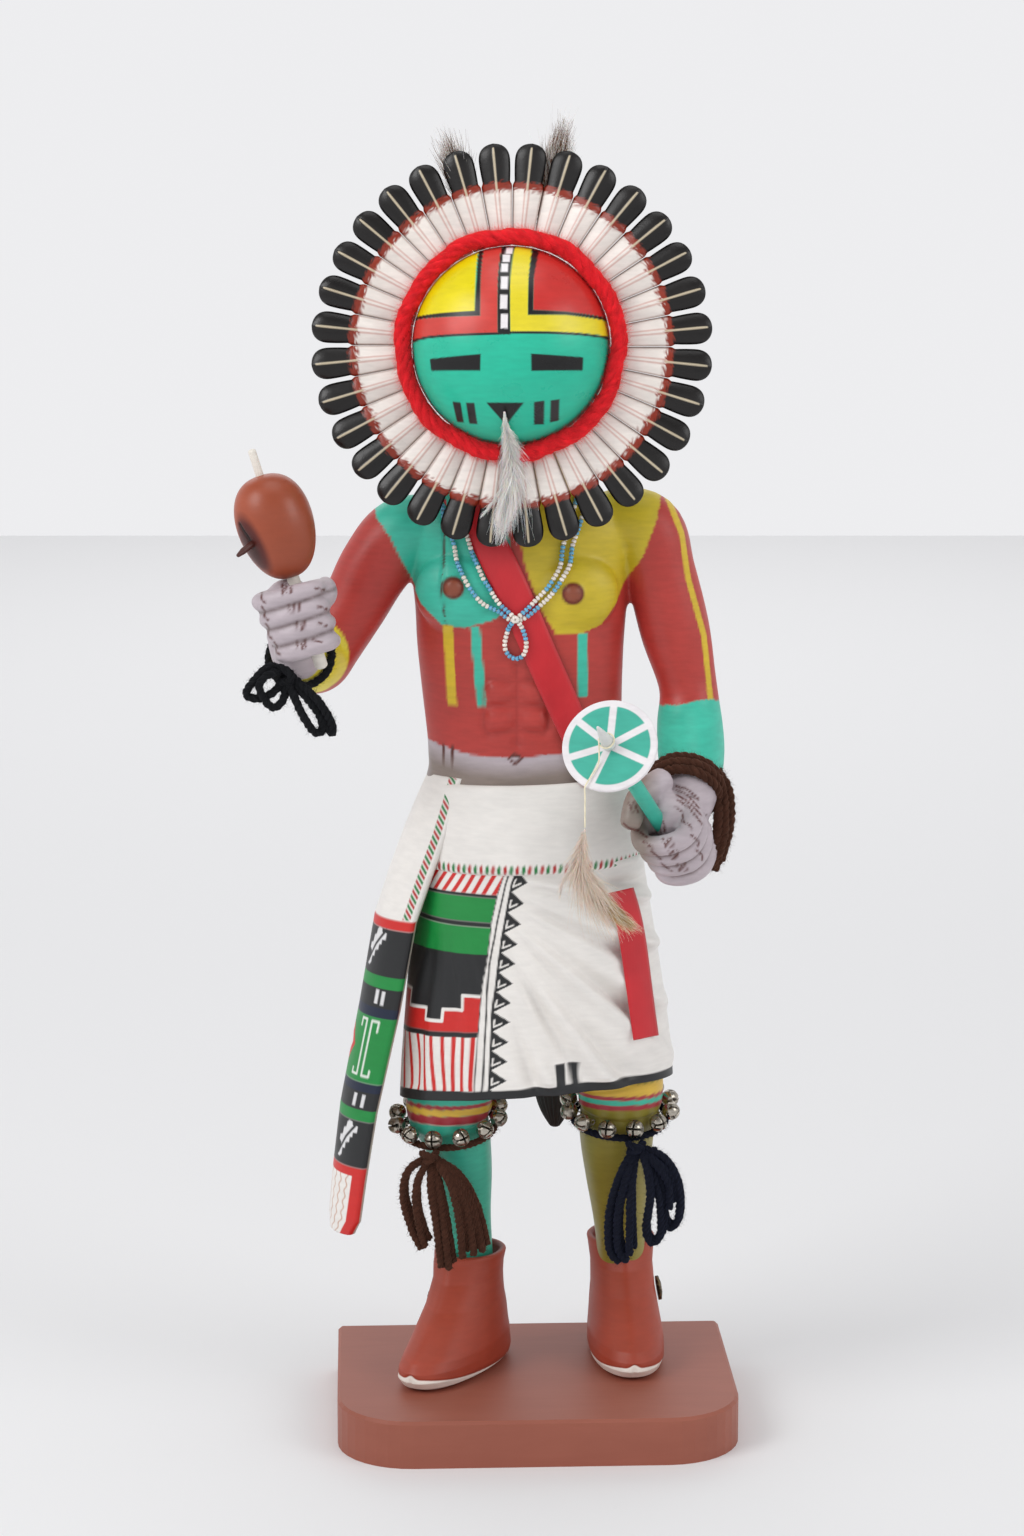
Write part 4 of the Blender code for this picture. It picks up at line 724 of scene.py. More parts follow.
STRIPES_TOP = (-66.0, -60.5, -55.5, -50.4, -45.8, -41.2, -36.3, -32.0, -27.9, -24.0)
STRIPES_LOW = (-64.5, -58.5, -53.4, -48.2, -43.6, -39.5, -35.1, -31.4, -27.5, -23.8)
TOOTH_PITCH = 8.14

corner = np.interp(np.linspace(0.0, 1.0, 331)[:-1], (0.0, 0.06, 0.62, 0.74, 1.0),
                   (150.0, 176.0, 282.0, 345.0, 510.0))
angle = np.radians(corner)
steady = np.radians(np.linspace(150.0, 510.0, 3601))
lengths = np.concatenate([[0.0], np.cumsum(np.hypot(50 * np.diff(np.cos(steady)),
        35 * np.diff(np.sin(steady))))])
lengths -= np.interp(math.radians(270.0), steady, lengths)
arc = np.interp(angle, steady, lengths)
high = np.concatenate([np.linspace(0.0, 100.0, 215), np.linspace(101.0, 108.0, 6)])
cx, wide, deep = (np.interp(high, KILT[:, 0], KILT[:, k])[:, None] for k in (1, 2, 3))
x, y = cx + wide * np.cos(angle), deep * np.sin(angle)
fade = np.clip(1.0 - high / 70.0, 0.0, 1.0)[:, None]
z = KILT_HEM_Z + high[:, None] + (0.083 * x - 0.13 * y) * fade
bearing = np.arctan2(FOLD_SOURCE[1] - z, x - FOLD_SOURCE[0])
away = np.hypot(FOLD_SOURCE[1] - z, x - FOLD_SOURCE[0])
ahead_of = np.clip(-y / 14.0, 0.0, 1.0)
fan = np.sin(bearing * 36.0 + 0.9 * np.sin(away / 23.0)) + 0.45 * np.sin(bearing * 61.0 + 1.3)
plain_side = np.clip((x + 14.0) / 16.0, 0.22, 1.0)
fold = fan * 3.4 * ahead_of * plain_side * np.clip((away - 26.0) / 60.0, 0.0, 1.0)
rear_wave = np.sin(np.arctan2(y, x) * 21.0 + high[:, None] / 26.0) + 0.4 * np.sin(np.arctan2(y, x) * 34.0)
fold = fold + rear_wave * 1.0 * np.clip(y / 14.0, 0.0, 1.0) * np.clip(1.1 - high / 110.0, 0.0, 1.0)[:, None]
fold = fold + 0.6 * np.sin(x / 5.2 + high[:, None] / 9.0) * ahead_of * np.clip(-(x + 14.0) / 14.0, 0.0, 1.0)
fold *= np.clip(high / 6.0, 0.35, 1.0)[:, None]
swell = 1.0 + fold / wide
outer = np.stack([cx + (x - cx) * swell, y * swell, z], axis=-1)
inner_scale = (wide[0] - 3.2) / wide[0]
rim = np.stack([cx[0] + (x[0] - cx[0]) * inner_scale, y[0] * inner_scale, z[0] + 0.2], axis=-1)
roof_scale = (wide[0] - 6.0) / wide[0]
roof = np.stack([cx[0] + (x[0] - cx[0]) * roof_scale, y[0] * roof_scale, z[0] + 7.0], axis=-1)
middle = np.broadcast_to(roof.mean(axis=0), roof.shape)
top_row = np.broadcast_to(outer[-1].mean(axis=0), roof.shape)
grid = np.concatenate([[middle, roof, rim], outer, [top_row]])
span, height = np.broadcast_arrays(arc[None, :], high[:, None])
edge_at, line_at, tooth_at = (np.interp(high, [p[0] for p in table], [p[1] for p in table])[:, None]
                              for table in (PANEL_EDGE, THIN_LINE, TOOTH_EDGE))
in_panel = np.maximum(span - edge_at, -span - 74.0)
panel = np.stack([span, height], axis=-1)
colours = np.tile(linear(CLOTH_WHITE), (*span.shape, 1))


def within(*gaps):
    """Where all the signed distances are negative."""
    result = gaps[0]
    for gap in gaps[1:]:
        result = np.maximum(result, gap)
    return result


slanting = np.mod(span * 0.86 - (height - 84.0) * 0.55, 4.1) / 4.1
lay(colours, within(in_panel, 84.0 - height, (np.abs(slanting - 0.5) - 0.22) * 4.1), BROCADE_RED)
for low, tall, hex_colour in ((82.6, 84.0, BROCADE_BLACK), (73.0, 82.6, BROCADE_GREEN),
                              (71.0, 73.0, BROCADE_BLACK), (60.0, 71.0, BROCADE_GREEN),
                              (28.0, 60.0, BROCADE_BLACK)):
    lay(colours, within(in_panel, low - height, height - tall), hex_colour)
steps = to_patch(panel, (*STEPPED_LINE, (-18, 28), (-72, 28)))
lay(colours, within(in_panel, steps), BROCADE_RED)
lay(colours, within(in_panel, to_line(panel, STEPPED_LINE) - 0.65), CLOTH_WHITE)
lay(colours, within(in_panel, 26.0 - height, height - 28.0), BROCADE_BLACK)
for low_arc, top_arc in zip(STRIPES_LOW, STRIPES_TOP):
    middle_arc = low_arc + (top_arc - low_arc) * (height - 4.0) / 22.0
    lay(colours, within(in_panel, 4.0 - height, height - 26.0, np.abs(span - middle_arc) - 0.8), BROCADE_RED)
lay(colours, np.abs(span - edge_at - 0.2) - 0.18, BROCADE_BLACK)
lay(colours, np.abs(span - line_at) - 0.38, BROCADE_BLACK)
drop = np.mod(89.2 - height + TOOTH_PITCH * 0.56, TOOTH_PITCH) / TOOTH_PITCH
tooth = 1.0 + 6.2 * np.where(drop < 0.56, drop / 0.56, (1.0 - drop) / 0.44)
from_edge = span - tooth_at
lay(colours, within(-from_edge, from_edge - tooth), BROCADE_BLACK)
spot = np.stack([from_edge, drop * TOOTH_PITCH], axis=-1)
hook = ((1.5, 3.4), (1.3, 6.2), (4.2, 4.9))
lay(colours, within(to_line(spot, hook) - 0.34, height - 92.0, 5.0 - height), CLOTH_WHITE, 0.3)
for bar in (8.9, 14.4):
    lean_by = (height - 4.0) * 0.03
    lay(colours, within(np.abs(span - bar + lean_by) - 1.95, height - 13.2), BROCADE_BLACK)
lay(colours, height - 3.9 - 0.25 * np.sin(span / 9.0), BROCADE_BLACK)
inside_tint = np.tile(linear("C9C1B8"), (3, colours.shape[1], 1))
colours = np.concatenate([inside_tint, colours, colours[-1:]])
kilt = skin("kilt", grid, colours)
cloth_paint = painted_wood("satin_painted_drapery", gloss=0.40, brush=0.8, wear=0.05)
finished(kilt, cloth_paint, "painted_figure", "carved_figure")

# ---- Sash wrap: the broad white sash carved round the waist over the kilt's top, its upper edge
# rolled, its lower edge painted with slanting green and red stitches.
BELT = ((231.5, 40.0, 30.5), (232.3, 43.2, 33.6), (234.3, 44.4, 34.8), (241.0, 44.1, 34.5),
        (252.3, 42.5, 32.5), (258.0, 41.5, 31.0), (263.3, 40.9, 29.6), (265.4, 40.4, 28.9),
        (266.6, 39.4, 27.8), (266.4, 38.4, 26.8), (264.5, 37.4, 25.6))
STITCH_GREEN = "14783A"
STITCH_RED = "B22626"
rows = smooth_line([(z, -1.6 - (z - 232.3) * 0.055, w, d, d) for z, w, d in BELT], 70)
grid = oval_rows(rows, 420)
lift = 1.2 * np.sin(np.radians(np.arange(420) * 360.0 / 420 + 200.0)) * 0.8
around = np.radians(np.arange(420) * 360.0 / 420)
belt_arc = np.interp(np.where(around < math.radians(150.0), around + math.tau, around), steady, lengths)
grid[..., 2] += (-1.3 + 0.03 * grid[..., 0] + np.where(grid[..., 1] < 0, -0.06 * grid[..., 1] * 0.4, 0.0))
z_low = grid[:, :, 2].min(axis=0)[None]
edge_height = grid[..., 2] - z_low
colours = np.tile(linear(CLOTH_WHITE), (*edge_height.shape, 1))
STITCH_PITCH = 2.7
beat = (belt_arc[None] - edge_height * 0.18) / STITCH_PITCH
across_stitch = (np.mod(beat, 1.0) - 0.5) * STITCH_PITCH / 0.80
along_stitch = (edge_height - 2.9) / 1.95
oval_gap = (np.hypot(across_stitch, along_stitch) - 1.0) * 0.7
for parity, hex_colour in ((0, STITCH_GREEN), (1, STITCH_RED)):
    turn_now = np.mod(np.floor(beat), 2.0) == parity
    lay(colours, np.where(turn_now, oval_gap, 1.0), hex_colour, 0.4)
belt = skin("sash_wrap", grid, colours)
finished(belt, cloth_paint, "painted_figure", "carved_figure")

# ---- Sash panel: the sash's painted end, carved as a curved slab down the right side. Its
# pattern runs in bands by height; the arc is measured round from the front edge.
SASH = np.array((  # height over the board, left edge x, arc radius, sweep in front, sweep behind
    (60.8, -82.6, 18.0, 50, 34), (61.6, -82.6, 19.0, 52, 36), (67.5, -82.9, 21, 60, 42),
    (85, -81.4, 23, 60, 44), (113, -78, 24, 62, 46), (155, -69.9, 24, 66, 46), (190, -63.8, 24, 67, 46),
    (208, -58, 24, 68, 46), (226, -51.5, 24, 68, 42), (238, -46.5, 23, 66, 32), (248, -42, 22, 62, 20)))
SASH_THICKNESS = 5.0
SASH_BANDS = ((187.0, 191.0, BROCADE_RED), (168.3, 187.0, BROCADE_BLACK), (163.4, 168.3, BROCADE_GREEN),
              (155.6, 163.4, BROCADE_BLACK), (151.6, 155.6, BROCADE_NAVY), (125.0, 151.6, BROCADE_GREEN),
              (121.4, 125.0, BROCADE_NAVY), (114.2, 121.4, BROCADE_BLACK), (109.6, 114.2, BROCADE_GREEN),
              (90.4, 109.6, BROCADE_BLACK), (86.8, 90.4, BROCADE_RED))
SASH_BARS = ((9.7, 159.9, 0.95, 2.8), (6.3, 159.6, 0.85, 2.8), (9.7, 117.9, 0.95, 2.6),
             (5.0, 117.7, 0.85, 2.6))
SASH_HOOKS = (((15.8, 147.2), (15.8, 150.2), (12.6, 150.2), (12.0, 127.8), (15.6, 127.8), (15.6, 129.8)),
              ((5.6, 146.0), (5.6, 150.0), (9.4, 150.0), (9.0, 127.6), (5.1, 127.6), (5.1, 130.0)))
STAIR = ((10.5, 18.0), (8.4, 17.8), (8.0, 16.4), (5.0, 16.2), (5.0, 13.6), (7.2, 13.4), (7.2, 11.4),
         (8.7, 11.2), (8.7, 9.0), (10.9, 8.6), (10.9, 6.2), (12.7, 5.8), (12.7, 3.2), (14.4, 2.0),
         (15.9, 2.4), (15.3, 5.0), (14.4, 5.4), (14.2, 8.0), (16.2, 8.6), (16.0, 10.8), (14.0, 11.4),
         (13.6, 14.4), (12.0, 14.8), (11.6, 17))
STAIR_SLASH = ((5.6, 17.4), (11.2, 11.0), (15.6, 3.6))
levels_up = np.concatenate([[61.0, 61.6], np.linspace(62.2, 247.0, 380), [247.6, 248.0]])
left, radius, front, behind = (np.interp(levels_up, SASH[:, 0], SASH[:, k])[:, None] for k in (1, 2, 3, 4))
sweep = np.radians(-front + (front + behind) * np.linspace(0.0, 1.0, 120)[None])
half_thick = SASH_THICKNESS / 2.0
mid_radius = radius - half_thick
round_off = np.radians(np.linspace(80.0, -80.0, 7))
outline, arcs = [], []
arc_here = radius * (sweep + np.radians(front))
for along_sweep, offset, arc_now in (
        (sweep, half_thick + 0.0 * sweep, arc_here),
        (sweep[:, -1:] + half_thick * np.cos(round_off) / mid_radius * 0.6,
         half_thick * np.sin(round_off)[None] + 0.0 * radius, arc_here[:, -1:] + 0.0 * round_off),
        (sweep[:, ::-5], -half_thick + 0.0 * sweep[:, ::-5], np.full((len(levels_up), 24), -9.0)),
        (sweep[:, :1] - half_thick * np.cos(round_off) / mid_radius * 0.6,
         -half_thick * np.sin(round_off)[None] + 0.0 * radius,
         np.where(round_off < -0.4, 0.0, -9.0)[None] + 0.0 * radius)):
    layer = mid_radius + offset
    outline.append(np.stack([left + radius - layer * np.cos(along_sweep), layer * np.sin(along_sweep),
                             BOARD_TOP + levels_up[:, None] + 0.0 * along_sweep], axis=-1))
    arcs.append(arc_now + 0.0 * along_sweep)
grid, arc = np.concatenate(outline, axis=1), np.concatenate(arcs, axis=1)
middle = grid.mean(axis=1, keepdims=True)
for row, shrink in ((0, 0.86), (-1, 0.7)):
    grid[row] = middle[row] + (grid[row] - middle[row]) * shrink
caps = [np.broadcast_to(middle[row], grid[row].shape)[None] for row in (0, -1)]
height = np.broadcast_to(levels_up[:, None], arc.shape)
place = np.stack([arc, height], axis=-1)
outside = arc > -5.0
colours = np.tile(linear(CLOTH_WHITE), (*arc.shape, 1))
for low, tall, hex_colour in SASH_BANDS:
    lay(colours, within(low - height, height - tall), hex_colour)
lay(colours, within(height - 87.0, arc - 4.0), BROCADE_RED)
for line_arc in (6.6, 10.6, 15.0, 20.0, 25.0, 29.5, 34.0, 38.5):
    wave = line_arc + 0.55 * np.sin(height * 1.35 + line_arc) + (86.0 - height) * 0.02
    lay(colours, within(np.abs(arc - wave) - 0.36, height - 86.8), "C69C88", 0.4)
for bar_arc, bar_height, half, tall in SASH_BARS:
    lay(colours, within(np.abs(arc - bar_arc) - half, np.abs(height - bar_height) - tall), "DDDCDD")
for hooked in SASH_HOOKS:
    lay(colours, to_line(place, hooked) - 0.5, "DFE8DC")
for slip, up in ((0.0, 91.0), (5.4, 169.0)):
    moved = place - (slip, up)
    lay(colours, to_patch(moved, STAIR), "DDDCDD")
    lay(colours, to_line(moved, STAIR_SLASH) - 0.62, BROCADE_BLACK)
diamond_gap = np.abs(arc - 25.0) / 6.4 + np.abs(height - 138.6) / 8.0 - 1.0
lay(colours, diamond_gap * 4.0, BROCADE_RED)
lay(colours, (diamond_gap + 0.55) * 4.0, CLOTH_WHITE)
sash_beat = (height - 0.9 * arc) / 1.97
dash_gap = within((np.abs(np.mod(sash_beat, 1.0) - 0.5) - 0.33) * 1.5, np.abs(arc - 2.3) - 1.75,
                  191.5 - height)
for parity, hex_colour in ((0, STITCH_GREEN), (1, STITCH_RED)):
    lay(colours, np.where(np.mod(np.floor(sash_beat), 2.0) == parity, dash_gap, 1.0), hex_colour, 0.4)
colours[~outside] = linear("BDB2A6")
colours = np.concatenate([colours[:1], colours, colours[-1:]])
sash = skin("sash_panel", np.concatenate([caps[0], grid, caps[1]]), colours)
finished(sash, cloth_paint, "painted_figure", "carved_figure")

# ---- Legs: bare and painted, one teal and one olive, with a striped garter carved in low relief
# under each knee-length hem. They run down into the boots and up inside the kilt.
LEGS = {
    "right": ((-25, 4, 159.3, 17), (-33, 2, 138.3, 17), (-34.5, 3, 127.3, 16.2), (-31.5, 6, 115.3, 13.6),
              (-29.8, 11, 99.3, 12.4), (-28.3, 17, 79.3, 10.4), (-27, 20, 59.3, 9.8), (-27, 20, 46.3, 9)),
    "left": ((24, 4, 161.3, 17), (33, 4, 143.3, 16.8), (34.2, 6, 130.3, 16), (33, 10, 116.3, 15),
             (33.8, 17, 97.3, 13.2), (34.8, 24, 77.3, 10.9), (35.5, 29, 61.3, 9.8), (36, 31, 45.3, 9))}
LEG_TEAL = "3CB499"
LEG_OLIVE = "8C8132"
GARTER_RED = "A3303A"
GARTER_YELLOW = "D8B13E"
GARTERS = {"right": (124.6, (("B9A89A", 0.0, 0.5), (GARTER_RED, 0.5, 4.1), (GARTER_YELLOW, 4.1, 6.8),
                             (GARTER_RED, 6.8, 8.4))),
           "left": (130.3, ((GARTER_RED, 0.0, 2.2), (LEG_TEAL, 2.2, 4.4), (GARTER_RED, 4.4, 6.0),
                            (GARTER_YELLOW, 6.0, 11.0)))}
legs = []
for side_name, knots in LEGS.items():
    line = smooth_line(knots, 230)
    garter_z, bands = GARTERS[side_name]
    tall = bands[-1][2]
    from_garter = line[:, 2] - garter_z
    proud = 0.7 * np.clip(np.minimum(from_garter, tall - from_garter) / 0.9 + 0.5, 0.0, 1.0)
    grid = rod_grid(line[:, :3], line[:, 3] + proud, 112)
    height = grid[..., 2] - garter_z + 0.05 * (grid[..., 1] - 4.0)
    colours = np.tile(linear(LEG_TEAL if side_name == "right" else LEG_OLIVE), (*height.shape, 1))
    for hex_colour, low, high_edge in bands:
        lay(colours, within(low - height, height - high_edge), hex_colour)
    legs.append(skin(side_name + "_leg", grid, colours))
legs = joined("legs", legs)
leg_paint = painted_wood("painted_bare_legs", gloss=0.40, brush=0.8, wear=0.10)
finished(legs, leg_paint, "painted_figure", "carved_figure")

# ---- Boots: high moccasins carved round the ankles, painted red-brown, the white sole rising to a
# point over each toe. The leg stands in a shallow hollow at the top of the shaft.
BOOT = np.array((  # height, heel end, toe end, half width, squareness
    (0, 2.6, 64.5, 12.2, 2.3), (1.2, 0.8, 67.6, 14.3, 2.2), (4, 0.0, 69.9, 15.2, 2.2),
    (7.5, 0.0, 69.2, 15.3, 2.15), (11, 0.0, 66.0, 15.2, 2.1), (18, 0.6, 56.0, 14.2, 2.1),
    (26, 1.0, 44.6, 13.1, 2.1), (35, 0.6, 35.0, 12.8, 2.1), (42, -0.6, 31.2, 13.6, 2.1),
    (44.4, -1.0, 30.5, 14.0, 2.1), (45, -0.4, 29.9, 13.4, 2.1)))
FEET = (((-15.0, 32.0), (-50.0, -28.5)), ((34.5, 53.5), (40.0, -16.0)))
BOOT_BROWN = "A2412C"
SOLE_WHITE = "E6DED5"
boots = []
for heel, toe in FEET:
    heel, toe = np.array(heel), np.array(toe)
    heading = (toe - heel) / np.linalg.norm(toe - heel)
    beside = np.array((-heading[1], heading[0]))
    rise = np.concatenate([np.linspace(0.0, 14.0, 70), np.linspace(14.5, 45.0, 70)])
    heel_end, toe_end, half, power = (np.interp(rise, BOOT[:, 0], BOOT[:, k])[:, None] for k in (1, 2, 3, 4))
    angle = np.linspace(0.0, math.tau, 221)[:-1]
    c, s = np.cos(angle), np.sin(angle)
    along = (heel_end + toe_end) / 2 + (toe_end - heel_end) / 2 * np.sign(c) * np.abs(c) ** (2.0 / power)
    across = half * np.sign(s) * np.abs(s) ** (2.0 / power)
    along_share = np.clip((along - 6.0) / 62.0, 0.0, 1.0)
    above_toe = np.clip((rise[:, None] - 6.0) / 8.0, 0.0, 1.0)
    ridge = 1.2 * np.exp(-(across / 3.4) ** 2) * above_toe * np.clip(c, 0.0, 1.0)
    below_shaft = np.clip((34.0 - rise) / 10.0, 0.0, 1.0)[:, None]
    wrinkle = 0.35 * np.sin(rise / 3.4 + 1.1)[:, None] * below_shaft * np.clip(-c, 0, 1)
    sole_top = 1.2 + 4.2 * along_share ** 2.2 + 1.5 * np.exp(-(across / 2.0) ** 2) * (along_share > 0.8)
    seam = -0.3 * np.exp(-((rise[:, None] - sole_top) / 0.45) ** 2)
    at_sole = np.clip(1.0 - np.abs(rise[:, None] - 4.0) / 4.0, 0.0, 1.0)
    pinch = -0.55 * np.exp(-(across / 0.9) ** 2) * (along_share > 0.8) * at_sole
    swell = (seam + pinch + wrinkle) + ridge
    along = along + swell * c
    across = across + (seam + wrinkle) * s
    shell_rows = np.stack([heel[0] + heading[0] * along + beside[0] * across,
                           heel[1] + heading[1] * along + beside[1] * across,
                           BOARD_TOP + 0.3 + rise[:, None] + 0.0 * along], axis=-1)
    if heel[0] < 0:
        shell_rows[..., 0] -= 4.0 * np.clip((rise[:, None] - 12.0) / 28.0, 0.0, 1.0)
    core = shell_rows[-1].mean(axis=0)
    lip = [core + (shell_rows[-1] - core) * share + (0.0, 0.0, sink)
           for share, sink in ((0.93, 0.25), (0.87, -0.2), (0.83, -1.4), (0.80, -4.5), (0.0, -4.5))]
    floor_row = shell_rows[0].mean(axis=0) + 0.0 * shell_rows[0]
    grid = np.concatenate([floor_row[None], shell_rows, np.array(lip)])
    colours = np.tile(linear(BOOT_BROWN), (len(rise), len(angle), 1))
    lay(colours, (rise[:, None] - sole_top), SOLE_WHITE)
    # Painted shade: the rolled lip and the hollow at the top of each shaft are painted a darker red-brown.
    hollow_painted_shade = np.tile(linear("7E3021"), (len(lip), len(angle), 1))
    colours = np.concatenate([colours[:1], colours, hollow_painted_shade])
    boots.append(skin("boot", grid, colours))
boots = joined("boots", boots)
boot_paint = painted_wood("satin_boot_paint", gloss=0.5, brush=0.8, wear=0.07)
finished(boots, boot_paint, "painted_figure", "carved_figure")

# ---- Pelt tail: a fox pelt hung at the back of the belt, carved as a long tapering brush with
# shallow hair grooves and painted nearly black. Its tip shows under the hem.
TAIL_X = 8.5
TAIL = ((252.5, 30.5, 8.4, 3.6), (251.3, 31, 9, 4.5), (219.3, 37, 10.5, 5.5), (179.3, 42, 11.5, 6.5),
        (139.3, 46, 10.5, 6.0), (119.3, 48, 7.5, 4.6), (108.6, 49, 2.6, 2.0), (107.4, 49, 0.4, 0.4))
rows = smooth_line([(z, cy, half, deep) for z, cy, half, deep in TAIL], 180)
angle = np.linspace(0.0, math.tau, 145)[:-1]
strands = (np.sin(angle * 26.0 + 1.6 * np.sin(rows[:, :1] / 9.0))
           + 0.5 * np.sin(angle * 41.0 + rows[:, :1] / 6.0))
bulk = 1.0 + 0.035 * strands * np.clip((252.0 - rows[:, :1]) / 12.0, 0.0, 1.0)
grid = np.stack([TAIL_X + rows[:, 2:3] * np.cos(angle) * bulk, rows[:, 1:2] + rows[:, 3:4] * np.sin(angle)
                 * bulk, rows[:, :1] + 0.0 * angle], axis=-1)
# Painted shade and highlight: the near-black is darkened in the carved hair grooves and lightened on their
# ridges.
colours = np.tile(linear("1C1514"), (*grid.shape[:2], 1)) * (1.0 + 0.3 * strands[..., None])
tail = skin("pelt_tail", grid, np.clip(colours, 0.0, 1.0))
tail_paint = painted_wood("dark_pelt_paint", gloss=0.5, brush=1.2, wear=0.03)
finished(tail, tail_paint, "painted_figure", "carved_figure")

# ---- Face yarn: soft red wool laid round the mask where it meets the feathers, open under the
# chin. Its plies are modelled as twisted strands and it is thick with loose fibres.
YARN_RING = 40.8
YARN_OUT = 5.5
WOOL_RED = "D8202A"


def new_mesh(name, points, faces):
    """An object from points in millimetres and rows of corner numbers."""
    mesh = bpy.data.meshes.new(name)
    mesh.from_pydata((points * MM).tolist(), [], [list(face) for face in faces])
    for face in mesh.polygons:
        face.use_smooth = True
    item = bpy.data.objects.new(name, mesh)
    bpy.context.scene.collection.objects.link(item)
    return item


def unit(vectors):
    """Vectors cut to length one."""
    return vectors / np.maximum(np.linalg.norm(vectors, axis=-1, keepdims=True), 1e-9)


def fibres(name, roots, aims, lengths, widths, curl=0.5, joints=4, tints=None):
    """Loose hairs: narrow ribbons that leave their roots and curl aside, tapering to a point."""
    count = len(roots)
    aims = unit(aims)
    bend = unit(np.cross(aims, rng.normal(size=(count, 3))))
    flat = unit(np.cross(aims, bend))
    t = np.linspace(0.0, 1.0, joints)[None, :, None]
    lengths = np.broadcast_to(lengths, count)[:, None, None]
    widths = np.broadcast_to(widths, count)[:, None, None]
    spine = roots[:, None] + aims[:, None] * t * lengths + bend[:, None] * t ** 2 * lengths * curl
    side = flat[:, None] * widths * (1.0 - 0.75 * t) / 2.0
    points = np.stack([spine - side, spine + side], axis=2).reshape(-1, 3)
    start = (np.arange(count)[:, None] * joints + np.arange(joints - 1)[None]).reshape(-1, 1) * 2
    item = new_mesh(name, points, start + np.array([[0, 1, 3, 2]]))
    if tints is not None:
        spread_paint(item.data, np.repeat(tints, joints * 2, axis=0))
    return item


def resampled(line, gap):
    """A line cut again into points with an even gap."""
    steps = np.linalg.norm(np.diff(line, axis=0), axis=1)
    reach = np.concatenate([[0.0], np.cumsum(steps)])
    wanted = np.linspace(0.0, reach[-1], max(3, int(round(reach[-1] / gap)) + 1))
    return np.column_stack([np.interp(wanted, reach, line[:, k]) for k in range(3)])


def yarn(name, route, radius, twist, hex_colour, fuzz, hair, plies=3, columns=7):
    """Plied yarn along a route: strands wound round each other, with fibres standing off them."""
    line = resampled(smooth_line(route, 240), radius * 0.55)
    side, up, ahead = frames_on(line)
    turn = np.arange(len(line)) * radius * 0.55 / twist * math.tau
    items, roots, aims = [], [], []
    for ply in range(plies):
        spin = turn + math.tau * ply / plies
        radial = side * np.cos(spin)[:, None] + up * np.sin(spin)[:, None]
        centre = line + radial * radius * 0.46
        wobble = 1.0 + 0.07 * rng.normal(size=len(line))
        grid = rod_grid(centre, radius * 0.60 * wobble, columns)
        shade = 1.0 + 0.16 * rng.normal(size=grid.shape[:2])
        colours = np.clip(linear(hex_colour) * shade[..., None], 0.0, 1.0)
        items.append(skin(name, grid, colours))
        roots.append(centre + radial * radius * 0.3)
        aims.append(radial * 0.9 + ahead * 0.7)
    roots, aims = np.concatenate(roots), np.concatenate(aims)
    total = int(fuzz * len(line) * radius * 0.55)
    chosen = rng.integers(0, len(roots), total)
    scatter = rng.normal(0.0, 0.8, (total, 3))
    tint = np.clip(linear(hex_colour) * (1.25 + 0.35 * rng.normal(size=(total, 1))), 0.0, 1.0)
    items.append(fibres(name, roots[chosen] + scatter * radius * 0.15, aims[chosen] + scatter * 0.5,
                        hair * rng.uniform(0.3, 1.0, total), 0.07, 0.7, tints=tint))
    return joined(name, items)


def woolly(name, sheen_tint):
    """Matt wool: each strand keeps its own tint, and the surface has a soft sheen."""
    material, tree, shader = new_material(name)
    tint = add_node(tree, "ShaderNodeAttribute", attribute_name="paint")
    where = add_node(tree, "ShaderNodeTexCoord").outputs["Object"]
    lumps = add_node(tree, "ShaderNodeTexNoise", {"Vector": where, "Scale": 900.0, "Detail": 3.0})
    tree.links.new(tint.outputs["Color"], shader.inputs["Base Color"])
    bump_from(tree, shader, lumps.outputs[0], 0.5, 0.0003)
    shader.inputs["Roughness"].default_value = 0.95
    shader.inputs["Specular IOR Level"].default_value = 0.15
    shader.inputs["Sheen Weight"].default_value = 0.5
    shader.inputs["Sheen Roughness"].default_value = 0.6
    shader.inputs["Sheen Tint"].default_value = (*linear(sheen_tint), 1.0)
    return material


opening = math.radians(13.0)
swing = np.linspace(-math.pi / 2 + opening / 2, math.tau - math.pi / 2 - opening / 2, 90)
wave = 0.35 * np.sin(swing * 7.0) + 0.25 * np.sin(swing * 13.0 + 1.0)
route = on_face(np.cos(swing) * (YARN_RING + wave), np.sin(swing) * (YARN_RING + wave),
                YARN_OUT + 0.0 * swing)
ring = yarn("face_yarn_wool", route, 3.1, 26.0, WOOL_RED, 95.0, 3.4, plies=5, columns=8)
red_wool = woolly("soft_red_wool", "FF6A5E")
finished(ring, red_wool, "red_wool", "face_yarn")

# ---- Feathers that are real: white down hung at the mouth, two dark tufts behind the crest. Each
# is a quill with rows of separate barbs that leave it slantwise and wave a little.


